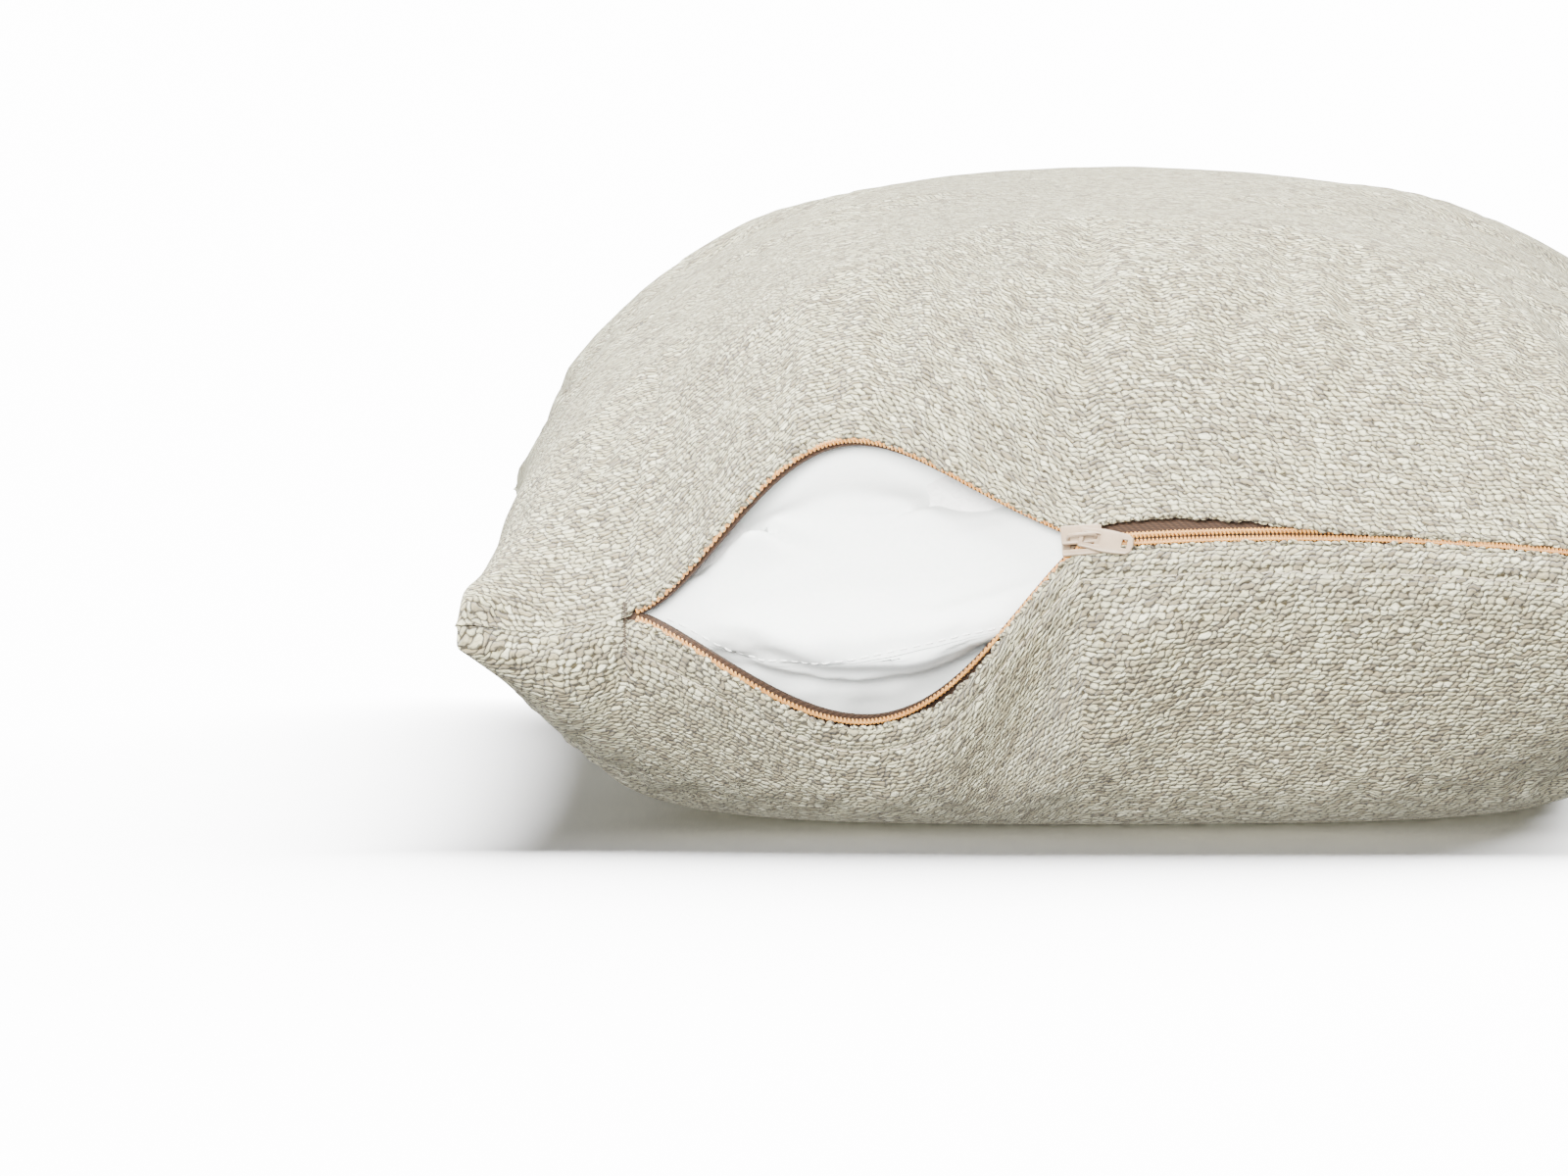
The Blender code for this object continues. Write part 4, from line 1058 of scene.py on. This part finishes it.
# Each fold of the slack case: the points it runs through as (x, z) on the zipped face, its
# half-width, its height, and whether it is a soft ridge, a crease or the edge of an overlap.
CASE_FOLDS = (
    ("overlap", ((-0.096, 0.060), (-0.084, 0.048), (-0.066, 0.0445), (-0.044, 0.0450), (-0.022, 0.0500)),
     0.0060, 0.0034),
    ("overlap", ((-0.084, 0.0415), (-0.066, 0.0395), (-0.047, 0.0405), (-0.034, 0.0440)), 0.0045, 0.0022),
    ("ridge", ((-0.103, 0.060), (-0.094, 0.052), (-0.083, 0.0445)), 0.0030, 0.0018),
    ("crease", ((-0.0925, 0.070), (-0.082, 0.0685), (-0.071, 0.0635), (-0.0615, 0.0600)), 0.0028, 0.0022),
    ("crease", ((-0.0985, 0.0615), (-0.0925, 0.0585), (-0.0870, 0.0605), (-0.0865, 0.0655)), 0.0022, 0.0020),
    ("ridge", ((-0.090, 0.0655), (-0.080, 0.0610), (-0.070, 0.0560), (-0.056, 0.0530)), 0.0050, 0.0014),
    ("crease", ((-0.040, 0.0800), (-0.046, 0.0745), (-0.055, 0.0710), (-0.068, 0.0720)), 0.0030, 0.0014),
    ("crease", ((-0.026, 0.0725), (-0.038, 0.0690), (-0.050, 0.0655), (-0.056, 0.0605)), 0.0035, 0.0018),
    ("ridge", ((-0.020, 0.0660), (-0.032, 0.0630), (-0.046, 0.0585)), 0.0040, 0.0012),
    ("crease", ((-0.018, 0.0585), (-0.028, 0.0550), (-0.042, 0.0515), (-0.052, 0.0520)), 0.0026, 0.0015),
    ("crease", ((-0.073, 0.0370), (-0.062, 0.0355), (-0.050, 0.0360)), 0.0022, 0.0010),
)
CASE_SET_BACK = 0.0020          # the slack case hangs this far behind the cover's face in the mouth
CASE_TUCK = 0.0085              # and this much farther under the upper lip
CASE_FOLD_GAIN = 3.0            # how much deeper the folds are than the heights above


def fold_height(x, z, kind, points, width, height):
    """Height of one fold: distances are taken to a smooth line through its points."""
    path = np.array(points)
    fine = np.linspace(0, len(path) - 1, 40)
    path = np.stack([np.interp(fine, np.arange(len(path)), path[:, k]) for k in (0, 1)], axis=1)
    for _ in range(3):
        path[1:-1] = (path[:-2] + 2 * path[1:-1] + path[2:]) / 4
    gap = np.stack([x, z], axis=-1)[..., None, :] - path
    nearest = np.linalg.norm(gap, axis=-1).argmin(axis=-1)
    offset = np.take_along_axis(gap, nearest[..., None, None], axis=-2)[..., 0, :]
    run = np.gradient(path, axis=0)[nearest]
    run /= np.linalg.norm(run, axis=-1, keepdims=True)
    side = run[..., 0] * offset[..., 1] - run[..., 1] * offset[..., 0]
    away = np.linalg.norm(offset, axis=-1)
    taper = np.sin(math.pi * np.clip((nearest + 1) / 42.0, 0.0, 1.0)) ** 0.6
    if kind == "ridge":
        return height * taper * np.exp(-(away / width) ** 2)
    if kind == "crease":
        sunk = np.exp(-away / (0.45 * width)) - 0.5 * np.exp(-(away / (1.8 * width)) ** 2)
        return -height * taper * sunk
    reach = np.where(side > 0, 2.6, 0.48) * width
    return height * taper * np.exp(-(away / reach) ** 2)


def held_at_floor(x, y, z):
    return smoothstep((0.012 - z) / 0.008)


case_wrinkles = settled_wrinkles("case_settling", case_form, 0.05, 0.0032, held_at_floor)


def case_seam_drop(x):
    """How far the case's closing seam has rolled down below the zip line, in the mouth."""
    return CASE_SEAM_DROP * smoothstep((x + 0.114) / 0.030) * smoothstep((0.010 - x) / 0.030)


def case_front_t(s, below):
    reach = (BELLY_DROP - CASE_BELLY) * np.maximum(across_fullness(s), 0.3)
    return -(1.0 - (below / reach) ** (1.0 / EDGE_POWER)) ** (1.0 / LENGTH_POWER)


def make_case_panel(side, name):
    s = rounded_spacing(CASE_COLUMNS)
    drop = case_seam_drop(s * CORNER_HALF_WIDTH)[:, None]
    share = (np.arange(CASE_ROWS + 1) / CASE_ROWS)[None, :] ** 2.3
    if side > 0:
        rolled = drop * (1.0 - np.arange(CASE_ROLLED_ROWS) / CASE_ROLLED_ROWS)[None, :]
        turned = case_front_t(s[:, None], rolled)
        plain = np.broadcast_to(-1.0 + 2.0 * share, (len(s), CASE_ROWS + 1))
        grid_t = np.concatenate([turned, plain], axis=1)
    else:
        first = case_front_t(s[:, None], drop)
        grid_t = first + (1.0 - first) * share
    grid_s = np.broadcast_to(s[:, None], grid_t.shape)
    outer = case_point(grid_s, grid_t, side)
    inner = case_point(grid_s, grid_t, side, CASE_THICKNESS)
    if side > 0:
        turned_in = slice(None), slice(0, CASE_ROLLED_ROWS)
        outer[turned_in] = case_point(grid_s[turned_in], grid_t[turned_in], -1)
        inner[turned_in] = case_point(grid_s[turned_in], grid_t[turned_in], -1, CASE_THICKNESS)
    normals = surface_normals(outer, side)
    x, z = outer[..., 0], outer[..., 2]
    front = smoothstep((-0.215 - outer[..., 1]) / 0.012)
    front = front * smoothstep((0.104 - z) / 0.008)
    in_mouth = front * smoothstep((x + 0.118) / 0.012) * smoothstep((0.006 - x) / 0.012)
    relief = np.zeros_like(x)
    for kind, points, width, height in CASE_FOLDS:
        relief = relief + fold_height(x, z, kind, points, width, height)
    fine = 0.00035 * value_noise(91, x / 0.0065 + 60, z / 0.0048 + 60)
    lower = case_wrinkles(grid_s, grid_t, -1)
    wrinkles = lower
    if side > 0:
        wrinkles = np.where(z < zip_line_height(x), lower, case_wrinkles(grid_s, grid_t, 1))
    under_lip = smoothstep(1.0 - (zip_line_height(x) + lip_offset(x, 1) - z) / 0.013)
    tuck = CASE_TUCK * under_lip * smoothstep((-0.012 - x) / 0.030)
    outward = (CASE_FOLD_GAIN * relief + 1.5 * fine + wrinkles - CASE_SET_BACK - tuck) * in_mouth
    outward += np.minimum(0.5 * wrinkles, 0.0) * (1.0 - in_mouth)
    rim = smoothstep((1.0 - np.abs(grid_s)) / 0.05) * smoothstep((1.0 - np.abs(grid_t)) / 0.012)
    on_floor = smoothstep((z - 0.002) / 0.010)
    shift = normals * (outward * rim * on_floor)[..., None]
    place = np.stack([outer + shift, inner + shift])
    mesh = lattice(CASE_COLUMNS, grid_t.shape[1] - 1, place, cut_coordinates(outer), side > 0, name)
    return link_piece(name, mesh), place


CASE_CLOTH = grouped_finish("inner_case_cloth", MOTTLE, (0.87, 0.915, 0.905), (0.925, 0.955, 0.948),
                            {"Roughness": 0.8, "Sheen Weight": 0.15}, (0.00008, 0.5), Scale=900.0)
for side, node in ((1, "inner_case_top_panel"), (-1, "inner_case_bottom_panel")):
    case_panel, case_place = make_case_panel(side, node.replace("panel", "cloth"))
    fit_piece(case_panel, CASE_CLOTH, node)
    if side > 0:
        seam_line = case_place[0, :, 1]
        seam_out = surface_normals(case_place[0], 1)[:, 1]
CLOSING_RADIUS, CLOSING_LENGTH, CLOSING_SPACE = 0.00018, 0.0022, 0.0030
CLOSING_HALF_REACH = 0.105
shown = np.abs(seam_line[:, 0]) < CLOSING_HALF_REACH
stitched_line("inner_case_closing_stitches", seam_line[shown], seam_out[shown], THREAD_WHITE,
              "inner_case_closing_stitch", CLOSING_RADIUS, CLOSING_LENGTH, CLOSING_SPACE)

# ---- Filling ------------
# Loose hollow polyester fibre, blown into the case.  It is only seen if the case is opened.

FILL_COLUMNS, FILL_ROWS = 90, 120
FILL_SIDES, FILL_TOP = CASE_SIDES + CASE_THICKNESS + 0.0028, CASE_TOP + CASE_THICKNESS + 0.0005


def make_fill(name):
    grid_s, grid_t = np.meshgrid(rounded_spacing(FILL_COLUMNS), rounded_spacing(FILL_ROWS), indexing="ij")
    layers = []
    for side in (-1, 1):
        skin = form_point(grid_s, grid_t, side, FILL_SIDES + 0.001, CASE_ENDS + CASE_THICKNESS + 0.004,
                          FILL_TOP + 0.004, CASE_BELLY + CASE_THICKNESS + 0.004, CASE_BASE + 0.003)
        x, y = skin[..., 0], skin[..., 1]
        tufts = 0.0012 * value_noise(55 + side, x / 0.009 + 40, y / 0.009 + 40) - 0.0012
        rim = smoothstep((1.0 - np.abs(grid_s)) / 0.05) * smoothstep((1.0 - np.abs(grid_t)) / 0.03)
        layers.append(skin + surface_normals(skin, side) * (tufts * rim)[..., None])
    return link_piece(name, lattice(FILL_COLUMNS, FILL_ROWS, np.stack(layers), None, False, name))


FIBRE = grouped_finish("polyester_fibre", MOTTLE, (0.80, 0.80, 0.80), (0.94, 0.94, 0.94),
                       {"Roughness": 0.95}, (0.0004, 0.8), Scale=400.0, Detail=5.0, Distortion=1.5)
wadding = make_fill("fibre_fill_wadding")
fit_piece(wadding, FIBRE, "fibre_fill")

# ---- End ------------
# The box of the finished visual model is measured, as the box of the CAD model was at the start.

low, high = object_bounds()
